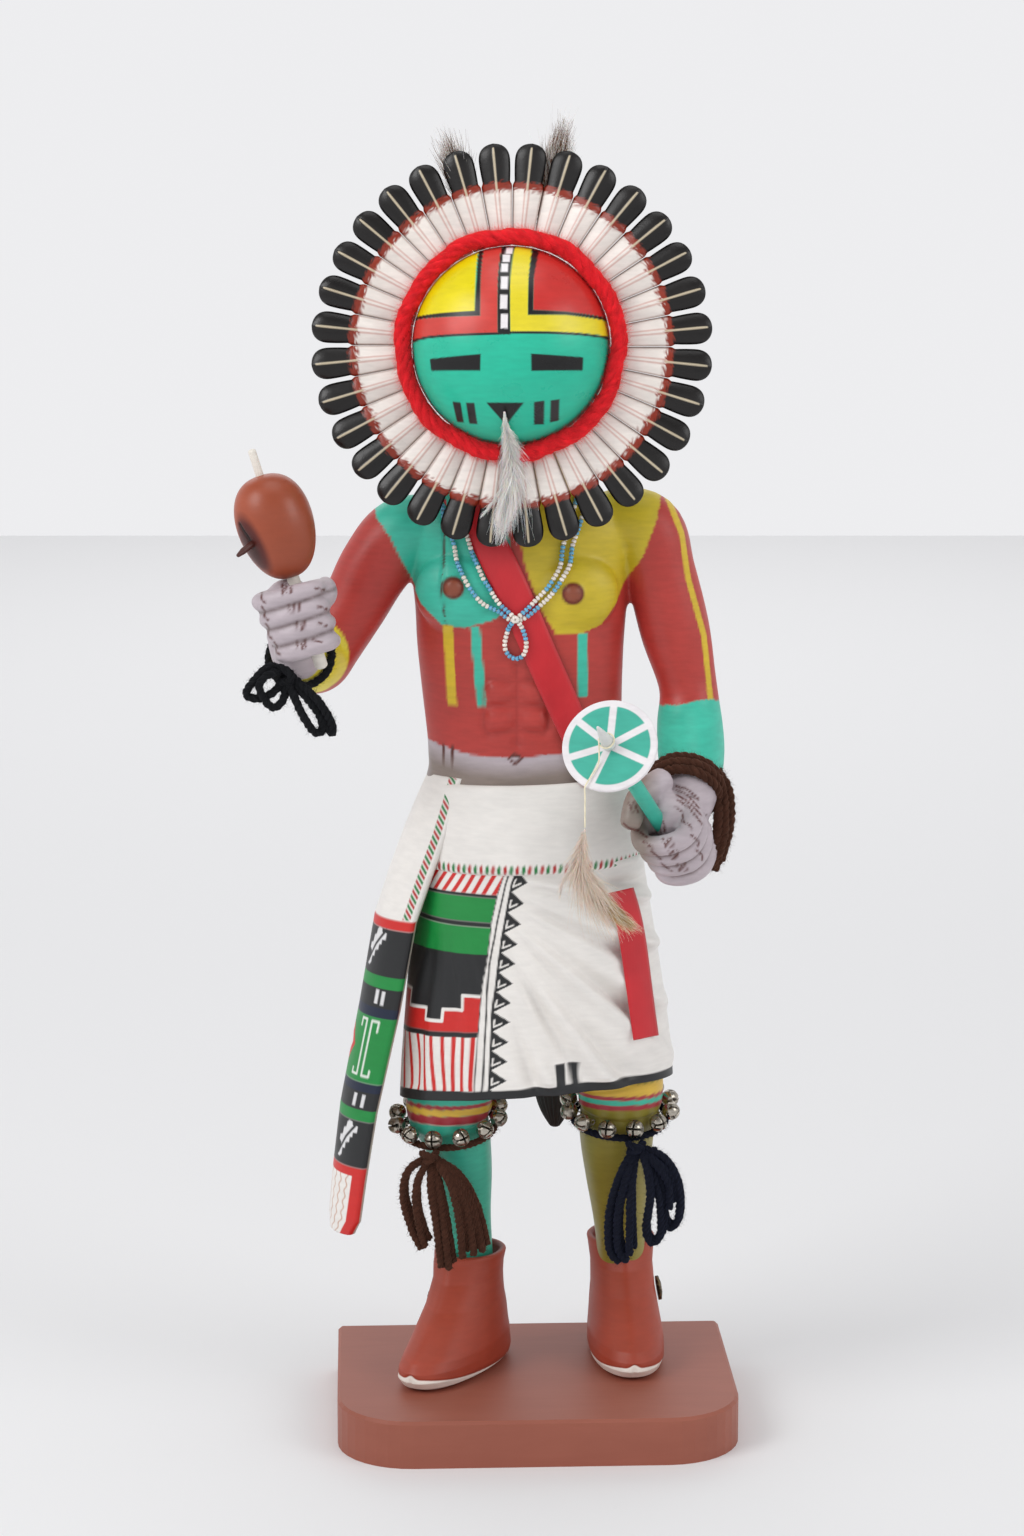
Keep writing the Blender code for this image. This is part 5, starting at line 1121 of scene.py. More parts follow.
def plume(name, quill, widths, barbs, slant, depth, face_dir, root_hex, tip_hex, width=0.16, stray=0.18,
          joints=6, curl=0.25):
    """A soft feather: barbs to both sides of a quill, their reach following the widths."""
    line = smooth_line(quill, 120)
    share = rng.uniform(0.0, 1.0, barbs) ** 0.9
    at_point = share * (len(line) - 1)
    index = np.clip(at_point.astype(int), 0, len(line) - 2)
    root = line[index] + (line[index + 1] - line[index]) * (at_point - index)[:, None]
    ahead = unit(line[index + 1] - line[index])
    face = unit(np.asarray(face_dir, dtype=float))[None]
    side = unit(np.cross(ahead, np.broadcast_to(face, ahead.shape)))
    sign = rng.choice((-1.0, 1.0), barbs)[:, None]
    half = np.interp(share, np.linspace(0.0, 1.0, len(widths)), widths) / 2.0
    lean = np.radians(slant) * (1.0 - 0.45 * share) + rng.normal(0.0, 0.10, barbs)
    aim = side * sign * np.sin(lean)[:, None] + ahead * np.cos(lean)[:, None]
    aim = aim + face * rng.normal(0.0, depth, (barbs, 1)) + rng.normal(0.0, stray, (barbs, 3))
    aim = unit(aim)
    reach = half / np.maximum(np.sin(lean), 0.25) * rng.uniform(0.75, 1.12, barbs)
    t = np.linspace(0.0, 1.0, joints)[None, :, None]
    droop = unit(ahead - aim * (ahead * aim).sum(axis=1, keepdims=True))
    wave_dir = unit(rng.normal(size=(barbs, 3)))
    spine = (root[:, None] + aim[:, None] * t * reach[:, None, None] + droop[:, None] * t ** 2
             * reach[:, None, None] * curl + wave_dir[:, None]
             * np.sin(t * 5.0 + rng.uniform(0, 6, (barbs, 1, 1))) * 0.045 * reach[:, None, None])
    flat = unit(np.cross(aim, np.broadcast_to(face, aim.shape) + 0.4 * rng.normal(size=(barbs, 3))))
    sides = flat[:, None] * width * (1.0 - 0.7 * t) / 2.0
    points = np.stack([spine - sides, spine + sides], axis=2).reshape(-1, 3)
    start = (np.arange(barbs)[:, None] * joints + np.arange(joints - 1)[None]).reshape(-1, 1) * 2
    item = new_mesh(name, points, start + np.array([[0, 1, 3, 2]]))
    mix = np.clip(t * 0.7 + share[:, None, None] * 0.5, 0.0, 1.0)
    tint = linear(root_hex) * (1.0 - mix) + linear(tip_hex) * mix
    tint = tint * (1.0 + 0.10 * rng.normal(size=(barbs, 1, 1)))
    spread_paint(item.data, np.repeat(np.clip(tint, 0.0, 1.0), 2, axis=1).reshape(-1, 3))
    shaft = rod_grid(line, np.linspace(0.42, 0.08, len(line)), 6)
    stem = skin(name, shaft, np.tile(linear(root_hex) * 0.85 + 0.1, (*shaft.shape[:2], 1)))
    return joined(name, [item, stem])


def downy(name, glow):
    """Feather barbs: matt, a little light passing through them."""
    material, tree, shader = new_material(name)
    tint = add_node(tree, "ShaderNodeAttribute", attribute_name="paint")
    where = add_node(tree, "ShaderNodeTexCoord").outputs["Object"]
    mottle = add_node(tree, "ShaderNodeTexNoise", {"Vector": where, "Scale": 260.0, "Detail": 2.0})
    shade = add_node(tree, "ShaderNodeMapRange", {"Value": mottle.outputs[0], "To Min": 0.86, "To Max": 1.1})
    colour = add_node(tree, "ShaderNodeVectorMath", {0: tint.outputs["Color"], 1: shade.outputs[0]},
                      operation="MULTIPLY")
    tree.links.new(colour.outputs[0], shader.inputs["Base Color"])
    shader.inputs["Roughness"].default_value = 0.8
    shader.inputs["Specular IOR Level"].default_value = 0.2
    shader.inputs["Subsurface Weight"].default_value = glow
    shader.inputs["Subsurface Scale"].default_value = 0.001
    return material


white_down = downy("white_down_barbs", 0.3)
drops = np.array((25.8, 30.5, 35.0, 41.0, 47.0, 52.0, 57.5))
swell = np.sqrt(np.clip(1.0 - (drops / HEAD_RADIUS) ** 2, 0.0, 1.0))
outs = np.maximum(DOME_DEPTH * swell, 2.4) + 2.6
outs[2:4] = np.maximum(outs[2:4], 7.4)
spine = on_face(np.array((-0.9, -0.6, 0.2, 0.9, 1.2, 0.6, -0.6)), -drops, outs)
down = plume("mouth_down", spine, (0.8, 4.0, 8.5, 12.5, 13.5, 11.0, 8.0), 3000, 34.0, 0.24, FACE_OUT,
             "EFE7DF", "F4EEE9", width=0.17, stray=0.10)
wisp_quill = on_face(np.array((0.6, -3.0, -7.0, -10.2)), -np.array((46.0, 54.0, 60.0, 64.0)),
                     np.array((4.6, 4.8, 4.8, 4.6)))
wisp = plume("mouth_wisp", wisp_quill, (1.4, 2.6, 2.4, 0.8), 260, 24.0, 0.15, FACE_OUT,
             "EFE7DF", "F4EEE9", width=0.13)
finished(joined("mouth_down", [down, wisp]), white_down, "white_down", "chin_feather")
dark_barbs = downy("dark_tuft_barbs", 0.1)
for name, lean, length, node in (("crest_tuft_right", -18.0, 65.5, "crest_feather_right"),
                                 ("crest_tuft_left", 13.0, 69.5, "crest_feather_left")):
    tilt = math.radians(lean)
    radii = np.linspace(39.5, length, 6)
    spine = on_face(np.sin(tilt) * radii, np.cos(tilt) * radii, np.full(6, -3.2))
    dark = plume(name, spine, (1.5, 4.0, 8.0, 12.0, 12.0, 8.0), 1500, 34.0, 0.10, FACE_OUT,
                 "4A3428", "6B4D3A", width=0.2, stray=0.14)
    pale = plume(name, spine[3:], (6.0, 11.0, 11.0), 700, 38.0, 0.12, FACE_OUT,
                 "C9BDB0", "EEE8E2", width=0.16, stray=0.2)
    finished(joined(name, [dark, pale]), dark_barbs, "dark_feather", node)

# ---- Bandolier: red satin ribbon over the right shoulder, laid on the painted carving. It goes
# in behind the sash in front and behind, and its two cut ends hang out below it at the left hip.
RIBBON_WIDTH = 13.0
RIBBON_LIFT = 1.5
RIBBON_THICKNESS = 0.5
BANDOLIER_ROUTE = (  # x, y, z, then the direction of its width
    (26.5, -28, 269.8, 1, 0.3, 0.5),
    (15, -26, 289.3, 0.9, 0, 0.42), (2, -28, 316.3, 0.9, 0, 0.42), (-9, -28, 341.3, 0.9, 0, 0.42),
    (-19, -22, 361.3, 0.9, 0, 0.4), (-29, -12, 375.3, 0.95, 0, 0), (-33, 2, 378.3, 1, 0, -0.4),
    (-29, 15, 376.3, 1, 0, -0.2), (-25.5, 21, 371.8, 1, 0, 0), (-14, 29, 355.3, 0.9, 0, 0.35),
    (2, 28, 324.3, 0.9, 0, 0.42), (17, 27, 294.3, 0.9, 0, 0.42), (30, 26, 270.3, 0.9, -0.3, 0.42))
FRONT_TAIL_ROUTE = ((35.8, -28, 228.8, 1, 0.5, 0), (39, -26, 209.3, 1, 0.4, 0), (42, -26, 184.3, 1, 0.35, 0),
                    (43.5, -26, 165.3, 1, 0.35, 0))
REAR_TAIL_ROUTE = ((42.3, 20, 228.8, 0.7, -0.7, 0), (45, 18, 209.3, 0.7, -0.7, 0),
                   (50, 17, 187.3, 0.7, -0.7, 0), (53.5, 16, 167.3, 0.7, -0.7, 0))


def surfaces(*items):
    """One search tree over the faces of several finished pieces, in millimetres."""
    points, faces = [], []
    for item in items:
        first = len(points)
        points.extend(vertex.co / MM for vertex in item.data.vertices)
        faces.extend([first + corner for corner in face.vertices] for face in item.data.polygons)
    return BVHTree.FromPolygons(points, faces)


def laid_on(tree, places, lift):
    """The nearest points of a surface, each raised off it on the side it was reached from."""
    result = []
    for place in places:
        found, normal, _, _ = tree.find_nearest(Vector(place))
        result.append(found + normal * lift)
    return np.array(result)


def eased(line, rounds):
    """A line with its small jumps smoothed away, its two ends kept."""
    line = line.copy()
    for _ in range(rounds):
        line[1:-1] = (line[:-2] + 2.0 * line[1:-1] + line[2:]) / 4.0
    return line


carving = surfaces(bpy.data.objects["figure_skin"], kilt, belt)


def ribbon_on(name, route, count, ease):
    """A flat ribbon along a route over the carving, a little cupped, and its length."""
    rows = smooth_line(route, count)
    shares = np.linspace(-0.5, 0.5, 9)
    across_dir = unit(rows[:, 3:])
    lanes = [eased(laid_on(carving, rows[:, :3] + across_dir * RIBBON_WIDTH * share, RIBBON_LIFT), ease)
             for share in shares]
    strip = np.stack(lanes, axis=1)
    middle = strip[:, 4]
    spread = unit(strip[:, -1] - strip[:, 0])
    ahead = unit(np.gradient(middle, axis=0))
    spread = unit(spread - ahead * (spread * ahead).sum(axis=1, keepdims=True))
    outward = np.cross(ahead, spread)
    outward *= np.sign((outward * (middle - (-5.0, 0.0, 0.0)) * (1.0, 1.0, 0.0)).sum(axis=1))[:, None]
    flat_strip = middle[:, None] + spread[:, None] * (shares * RIBBON_WIDTH)[None, :, None]
    strip = 0.55 * flat_strip + 0.45 * strip
    cup = 0.35 * (1.0 - (2.0 * shares) ** 2)[None, :] + 0.12 * np.sin(np.arange(count) / 9.0)[:, None]
    strip = strip + outward[:, None] * cup[..., None]
    under = strip[:, ::-1] - outward[:, None] * RIBBON_THICKNESS * 0.5
    grid = np.concatenate([strip, under], axis=1)
    ends = [np.repeat(grid[end].mean(axis=0)[None], grid.shape[1], axis=0)[None] for end in (0, -1)]
    item = skin(name, np.concatenate([ends[0], grid, ends[1]]))
    return item, float(np.linalg.norm(np.diff(middle, axis=0), axis=1).sum())


satin, tree, shader = new_material("red_satin_weave")
where = add_node(tree, "ShaderNodeTexCoord").outputs["Object"]
sweep_noise = add_node(tree, "ShaderNodeTexNoise", {"Vector": where, "Scale": 55.0, "Detail": 2.0})
tone = add_node(tree, "ShaderNodeValToRGB", {"Fac": sweep_noise.outputs[0]})
for element, (position, colour) in zip(tone.color_ramp.elements, ((0.3, "BC0C1C"), (0.7, "D01A26"))):
    element.position = position
    element.color = (*linear(colour), 1.0)
threads = add_node(tree, "ShaderNodeTexWave", {"Vector": where, "Scale": 520.0, "Distortion": 0.6})
tree.links.new(tone.outputs[0], shader.inputs["Base Color"])
bump_from(tree, shader, threads.outputs[0], 0.15, 0.0001)
shader.inputs["Roughness"].default_value = 0.42
shader.inputs["Anisotropic"].default_value = 0.6
shader.inputs["Sheen Weight"].default_value = 0.25
for name, node, route, count, ease in (("satin_bandolier", "ribbon_bandolier", BANDOLIER_ROUTE, 220, 60),
                                       ("front_ribbon_tail", "ribbon_tail_front", FRONT_TAIL_ROUTE, 60, 400),
                                       ("rear_ribbon_tail", "ribbon_tail_rear", REAR_TAIL_ROUTE, 60, 400)):
    tail, length = ribbon_on(name, route, count, ease)
    finished(tail, satin, "red_satin", node)
ribbon = bpy.data.objects["satin_bandolier"]

# ---- Necklace: two strands of small glass seed beads, pale blue and white in short runs, that
# cross on the chest and end in a loop. Each bead is a short rounded tube on a hidden thread.
BEAD_PITCH = 1.62
BEAD_BLUE = "69B2D8"
BEAD_WHITE = "F3EBE1"
OUTER_STRAND = ((-9, 20, 382.3), (-27, 12, 379.3), (-34, -6, 373.3), (-32.5, -22, 359.3), (-26, -26, 343.3),
                (-17.5, -27, 333.8), (-8.1, -28, 329.6), (0, -28, 334.2), (8.5, -28, 344.8),
                (14.5, -25, 358.0), (16.5, -6, 373.3), (9, 12, 379.3))
INNER_STRAND = ((-9, 19, 384), (-24, 12, 381), (-29, -6, 375), (-26.5, -22, 361.3), (-20.5, -26, 345.8),
                (-13.5, -27, 335.6), (-7.4, -29, 330.4), (-4.4, -28, 324.5), (-3.7, -28, 318.5),
                (-8.1, -28, 313.6), (-12.5, -28, 318.3), (-12.0, -28, 324.5), (-8.6, -30, 330.2),
                (-1.8, -29, 335.8), (5.6, -28, 346.4), (11.2, -25, 359.6), (13.0, -6, 375), (8, 12, 381))


def copies(name, model, origins, aims, tints=None, rolls=None):
    """One small modelled piece set down many times: its own Z turned to each aim."""
    points = points_of(model)
    faces = [list(face.vertices) for face in model.data.polygons]
    aims = unit(np.asarray(aims, dtype=float))
    hint = np.where(np.abs(aims[:, 2:]) > 0.9, (1.0, 0.0, 0.0), (0.0, 0.0, 1.0))
    side = unit(np.cross(hint, aims))
    up = np.cross(aims, side)
    if rolls is not None:
        c, s = np.cos(rolls)[:, None], np.sin(rolls)[:, None]
        side, up = side * c + up * s, up * c - side * s
    placed = (origins[:, None] + points[None, :, :1] * side[:, None] + points[None, :, 1:2] * up[:, None]
              + points[None, :, 2:] * aims[:, None])
    corners = [[corner + step * len(points) for corner in face] for step in range(len(origins))
               for face in faces]
    item = new_mesh(name, placed.reshape(-1, 3), corners)
    if tints is not None:
        spread_paint(item.data, np.repeat(tints, len(points), axis=0))
    return item


def lathe(name, profile, columns, colours=None):
    """A turned piece about its own Z: rows of (radius, height), painted row by row."""
    angle = np.linspace(0.0, math.tau, columns + 1)[:-1]
    profile = np.array(profile, dtype=float)
    grid = np.stack([profile[:, :1] * np.cos(angle), profile[:, :1] * np.sin(angle),
                     profile[:, 1:2] + 0.0 * angle], axis=-1)
    return skin(name, grid, colours)


tube_turn = np.linspace(0.0, math.tau, 7)
bead_model = lathe("seed_bead", [(0.62 + 0.42 * math.cos(a), 0.70 * math.sin(a)) for a in tube_turn], 10)
on_ribbon = surfaces(bpy.data.objects["figure_skin"], ribbon)
strings, bead_places, bead_aims, bead_tints = [], [], [], []
for strand_route in (OUTER_STRAND, INNER_STRAND):
    line = smooth_line(strand_route, 260)
    line = eased(laid_on(on_ribbon, line, 1.5), 16)
    if strand_route is INNER_STRAND:
        near = np.exp(-((np.linalg.norm(line[:, [0, 2]] - (-8.0, 330.2), axis=1)) / 3.2) ** 2)
        line = line + near[:, None] * (0.0, -1.6, 0.0)
    strings.append(resampled(line, 1.2))
    beads = resampled(line, BEAD_PITCH)
    bead_places.append(beads)
    bead_aims.append(np.gradient(beads, axis=0))
    run, tints = 0, []
    while len(tints) < len(beads):
        tints.extend([linear((BEAD_BLUE, BEAD_WHITE)[run % 2])] * int(rng.integers(3, 6)))
        run += 1
    bead_tints.append(np.array(tints[:len(beads)]))
bead_tints = np.concatenate(bead_tints) * (1.0 + 0.06 * rng.normal(size=(sum(map(len, bead_places)), 1)))
bead_places = np.concatenate(bead_places)
bead_aims = unit(np.concatenate(bead_aims)) + rng.normal(0.0, 0.10, bead_places.shape)
beads = copies("seed_beads", bead_model, bead_places, bead_aims, np.clip(bead_tints, 0.0, 1.0))
threads = [skin("thread", rod_grid(line, 0.22, 6), np.tile(linear("E8E0D4"), (len(line) + 6, 6, 1)))
           for line in strings]
bpy.data.objects.remove(bead_model)
glass, tree, shader = new_material("opaque_glass_beads")
tint = add_node(tree, "ShaderNodeAttribute", attribute_name="paint")
where = add_node(tree, "ShaderNodeTexCoord").outputs["Object"]
streak = add_node(tree, "ShaderNodeTexNoise", {"Vector": where, "Scale": 700.0, "Detail": 1.0})
tone = add_node(tree, "ShaderNodeMapRange", {"Value": streak.outputs[0], "To Min": 0.9, "To Max": 1.08})
colour = add_node(tree, "ShaderNodeVectorMath", {0: tint.outputs["Color"], 1: tone.outputs[0]},
                  operation="MULTIPLY")
tree.links.new(colour.outputs[0], shader.inputs["Base Color"])
shader.inputs["Roughness"].default_value = 0.18
shader.inputs["Coat Weight"].default_value = 0.4
finished(joined("seed_bead_necklace", [beads, *threads]), glass, "seed_beads", "bead_necklace")

# ---- Rattle: a small gourd on a stick that runs through the fist. The gourd is stained and waxed,
# with a darker patch round a slit where a dark peg is pushed in.
GOURD_CENTRE = STICK_TOP + STICK_AIM * 29.5
GOURD_RADIUS = 15.2
GOURD_LENGTH = 40.0
GOURD_BROWN = "9E4A2E"
GOURD_DARK = "541810"
PEG_AIM = Vector((-0.62, -0.72, -0.42)).normalized()
aim = np.array(STICK_AIM)
lean_side = np.array(Vector(STICK_AIM).orthogonal().normalized())
lean_up = np.cross(aim, lean_side)
sweep_a = np.linspace(0.0, math.pi, 110)
around = np.linspace(0.0, math.tau, 145)[:-1]
swell = 1.0 + 0.10 * np.cos(sweep_a + 2.6)
profile = np.maximum(0.0, GOURD_RADIUS * swell * np.clip(np.sin(sweep_a), 0.0, 1.0) ** 0.85)
lumpy = 1.0 + 0.012 * np.sin(around * 3.0 + 1.0)[None] * np.sin(sweep_a)[:, None]
grid = (np.array(GOURD_CENTRE) + aim * (np.cos(sweep_a) * GOURD_LENGTH / 2.0)[:, None, None]
        + (lean_side * np.cos(around)[:, None] + lean_up * np.sin(around)[:, None])[None]
        * (profile[:, None] * lumpy)[..., None])
outward = unit(grid - np.array(GOURD_CENTRE))
peg_dir = np.array(PEG_AIM)
patch_up = unit(aim - peg_dir * aim.dot(peg_dir))
patch_side = np.cross(peg_dir, patch_up)
flat = np.stack([(grid - np.array(GOURD_CENTRE)) @ patch_side, (grid - np.array(GOURD_CENTRE)) @ patch_up],
                axis=-1)
facing = (grid - np.array(GOURD_CENTRE)) @ peg_dir > 0.0
colours = np.tile(linear(GOURD_BROWN), (*grid.shape[:2], 1))
colours *= (1.0 + 0.10 * np.sin(grid @ lean_up / 5.0))[..., None]
oval_patch = (np.hypot((flat[..., 0] + 1.0) / 6.2, (flat[..., 1] - 0.5) / 11.5) - 1.0) * 6.0
lay(colours, np.where(facing, oval_patch, 9.0), GOURD_DARK, 2.2)
lay(colours, np.where(facing, oval_patch + 2.4, 9.0), "3E100A", 2.0)
slit = to_line(flat, ((-2.6, -8.6), (0.0, -3.2), (0.2, 0.6))) - 0.75
lay(colours, np.where(facing, slit, 9.0), "1C0806", 0.5)
grid = grid - outward * (0.9 * np.clip(-slit, 0.0, 0.7) / 0.7 * facing)[..., None]
gourd = skin("gourd_shell", grid, colours)
gourd_wax = painted_wood("waxed_gourd", gloss=0.36, brush=0.5, wear=0.05)
finished(gourd, gourd_wax, "brown_gourd", "rattle_gourd")

stick_end = STICK_TOP + STICK_AIM * 84.5
line = smooth_line([tuple(STICK_TOP), tuple(STICK_TOP.lerp(stick_end, 0.16)),
                    tuple(STICK_TOP.lerp(stick_end, 0.62)), tuple(stick_end)], 90)
radii = np.interp(np.linspace(0.0, 1.0, 90), (0.0, 0.16, 0.62, 1.0), (1.55, 1.55, 2.5, 2.5))
bare_wood = painted_wood("peeled_white_stick", gloss=0.6, brush=2.0, wear=0.10)
grid = rod_grid(line, radii, 28)
stick = skin("rattle_stick", grid, np.tile(linear("E6E0D6"), (*grid.shape[:2], 1)))
finished(stick, bare_wood, "white_stick", "rattle_handle")

hit = surfaces(gourd).ray_cast(Vector(GOURD_CENTRE + PEG_AIM * 50.0), -PEG_AIM)[0]
peg_line = smooth_line([tuple(hit - PEG_AIM * 6.5), tuple(hit + PEG_AIM * 1.5 + Vector((0.2, 0, 0.5))),
                        tuple(hit + PEG_AIM * 5.0 + Vector((0.1, 0, 0.3))), tuple(hit + PEG_AIM * 8.4)], 50)
grid = rod_grid(peg_line, np.interp(np.linspace(0, 1, 50), (0, 0.5, 0.8, 1.0), (1.25, 1.3, 1.25, 0.7)), 24)
peg = skin("dark_wood_peg", grid, np.tile(linear("4A211B"), (*grid.shape[:2], 1)))
dark_wood = painted_wood("dark_polished_peg", gloss=0.35, brush=1.5, wear=0.05)
finished(peg, dark_wood, "dark_peg", "rattle_peg")

# ---- Disc wand: a teal rod, a thin round disc painted as a wheel with a white rim and six
# spokes, a white cone glued at its middle, and a cotton string that carries a pale feather.
DISC_NORMAL = Vector((-0.196, -0.853, 0.483)).normalized()
DISC_RADIUS = 17.8
DISC_THICKNESS = 1.6
DISC_TEAL = "3DAE99"
RIM_WHITE = "E8E4E6"
SPOKES = (0.0, 58.0, 112.0, 200.0, 250.0, 305.0)
rod_start = WAND_TOP + WAND_AIM * 2.6
line = smooth_line([tuple(rod_start), tuple(WAND_TOP + WAND_AIM * 50.0),
                    tuple(WAND_TOP + WAND_AIM * 100.0)], 90)
grid = rod_grid(line, 2.9, 28)
rod = skin("teal_wand_rod", grid, np.tile(linear("3CB39C"), (*grid.shape[:2], 1)))
rod_paint = painted_wood("teal_rod_paint", gloss=0.38, brush=1.0, wear=0.08)
finished(rod, rod_paint, "teal_rod", "wand_rod")

normal = np.array(DISC_NORMAL)
disc_up = unit(np.array((0.0, 0.0, 1.0)) - normal * normal[2])
disc_right = np.cross(disc_up, normal)
if disc_right[0] < 0.0:
    disc_right = -disc_right
around = np.linspace(0.0, math.tau, 289)[:-1]
half_thick = DISC_THICKNESS / 2.0
rim_turn = np.radians(np.linspace(90.0, -90.0, 9))
disc_rows = [(r, half_thick) for r in np.linspace(0.0, DISC_RADIUS - 0.5, 70)]
disc_rows += [(DISC_RADIUS - 0.5 + 0.5 * math.cos(a), half_thick * math.sin(a)) for a in rim_turn]
disc_rows += [(r, -half_thick) for r in np.linspace(DISC_RADIUS - 0.6, 0.0, 24)]
disc_rows = np.array(disc_rows)
u, v = disc_rows[:, :1] * np.sin(around), disc_rows[:, :1] * np.cos(around)
grid = (np.array(WAND_TOP) + u[..., None] * disc_right + v[..., None] * disc_up
        + (disc_rows[:, 1:2] + 0.0 * u)[..., None] * normal)
flat = np.stack([u, v], axis=-1)
colours = np.tile(linear(DISC_TEAL), (*u.shape, 1))
front_face = (disc_rows[:, 1:2] > -0.2) + 0.0 * u > 0
for bearing_deg in SPOKES:
    end_point = (DISC_RADIUS * math.sin(math.radians(bearing_deg)),
                 DISC_RADIUS * math.cos(math.radians(bearing_deg)))
    spoke = to_line(flat, ((0.0, 0.0), end_point)) - 1.35
    lay(colours, np.where(front_face, spoke, 9.0), RIM_WHITE)
lay(colours, DISC_RADIUS - 2.6 - np.hypot(u, v), RIM_WHITE)
disc = skin("wheel_disc", grid, colours)
finished(disc, rod_paint, "painted_disc", "wand_disc")

cone_aim = unit(normal + (-0.25, -0.25, 0.35))
foot = np.array(WAND_TOP) + normal * 1.9
cone_rows = [(0.0, -0.9), (2.4, -0.6), (2.5, 0.2)]
cone_rows += [(2.5 * (1.0 - t) ** 0.85 + 0.35, 15.0 * t) for t in np.linspace(0.06, 0.97, 40)]
cone_rows += [(0.0, 15.0)]
up_cone = np.linspace(0, 1, len(cone_rows))
# Painted shadow: the cone model is painted darker grey towards its foot on the disc.
cone_foot_painted_shadow = np.clip(np.interp(up_cone, (0, 0.35, 0.8, 1.0), (0.75, 0.8, 1.0, 1.0)), 0, 1)[:, None]
cone_colours = np.repeat(linear("E4E2E0")[None] * cone_foot_painted_shadow, 48, axis=0).reshape(len(cone_rows), 48, 3)
cone_model = lathe("cone", cone_rows, 48, cone_colours)
cone_tints = np.array(linear("DEDCDA"))[None]
cone = copies("white_cone", cone_model, foot[None], cone_aim[None], cone_tints)
bpy.data.objects.remove(cone_model)
cone_paint = painted_wood("white_cone_paint", gloss=0.4, brush=1.0, wear=0.08)
finished(cone, cone_paint, "white_cone", "wand_cone")

# ---- Wand string and feather: a thin cotton string tied round the cone's foot, down over the
# disc, hanging free below it with a soft pale feather knotted to its end.
STRING_DIAMETER = 0.6
cone_side = unit(np.array((1.0, 0.0, 0.0)) - cone_aim * cone_aim[0])
cone_up = np.cross(cone_aim, cone_side)
string_foot = np.array(WAND_TOP) + normal * 1.1
string_route = []
for k in range(13):
    spin = math.radians(200.0 + 30.0 * k)
    round_cone = cone_side * math.cos(spin) + cone_up * math.sin(spin)
    string_route.append(string_foot + normal * 0.9 + round_cone * 2.95 + cone_aim * (2.7 + 0.9 * k / 12.0))
downhill = np.array((-0.38, 0.0, -0.92))
downhill = unit(downhill - normal * downhill.dot(normal))
for share in (0.45, 0.75, 1.02):
    string_route.append(string_foot + downhill * DISC_RADIUS * share + normal * 0.6)
for drop in (3.0, 7.5, 12.0, 15.0):
    string_route.append(string_route[15] + (0.0, -0.4, -drop))
string_line = resampled(smooth_line(string_route, 200), 0.9)
grid = rod_grid(string_line, STRING_DIAMETER / 2.0, 10)
twist = 1.0 + 0.10 * np.sin(np.arange(grid.shape[0])[:, None] * 1.3 + np.arange(10)[None] * math.tau / 10)
string = skin("cotton_string", grid, np.clip(linear("EDE3C4") * twist[..., None], 0.0, 1.0))
cotton = woolly("twisted_cotton", "FFFFFF")
finished(string, cotton, "cotton_string", "wand_string")

feather_top = string_route[-1] - (0.0, 0.0, 0.9)
offsets = np.array(((0, 0, 0), (-1.0, 0, -6), (-1.2, 0.4, -13), (1.5, 0.8, -20), (7.0, 1.2, -27),
                    (12.5, 1.6, -32)))
quill = feather_top + offsets
fluff = plume("wand_fluff", quill[:4], (2.0, 9.0, 13.0, 12.0), 1500, 34.0, 0.30, (0, -1, 0),
              "E3CFC0", "E9D6C4", width=0.15, stray=0.2)
vane = plume("wand_vane", quill[2:], (4.0, 8.0, 7.5, 3.5), 1300, 30.0, 0.05, (0, -1, 0),
             "B98A58", "C79C66", width=0.26, stray=0.05)
edge = plume("wand_vane_edge", quill[2:], (6.5, 10.0, 9.0, 5.0), 420, 30.0, 0.10, (0, -1, 0),
             "E8D2B4", "EAD9BE", width=0.18, stray=0.08)
trail_quill = feather_top + np.array(((0, 0, -4), (-4.5, 0.3, -12), (-8.0, 0.5, -20), (-9.0, 0.6, -25)))
trailing = plume("wand_trail", trail_quill, (3.0, 4.0, 3.0, 1.0), 240, 22.0, 0.12, (0, -1, 0),
                 "E9D8CC", "EEE2D8", width=0.12)
pale_feather = joined("pale_wand_feather", [fluff, vane, edge, trailing])
soft_barbs = downy("pale_feather_barbs", 0.25)
finished(pale_feather, soft_barbs, "beige_down", "wand_feather")

# ---- Wrist yarns: black wool tied in a loose bow on the rattle's wrist, brown wool wound round
# the other wrist with its ends hanging down the outside of the hand.


def ring_route(centre, axis, radius, count, sway=0.0):
    """Points round a closed ring square to an axis, its end laid over its start."""
    axis = unit(np.asarray(axis, dtype=float))
    side = unit(np.array((1.0, 0.0, 0.0)) - axis * axis[0])
    up = np.cross(axis, side)
    spin = np.linspace(0.0, math.tau, count)
    return (np.asarray(centre) + (side * np.cos(spin)[:, None] + up * np.sin(spin)[:, None]) * radius
            + axis * (sway * np.sin(spin * 2.0))[:, None])


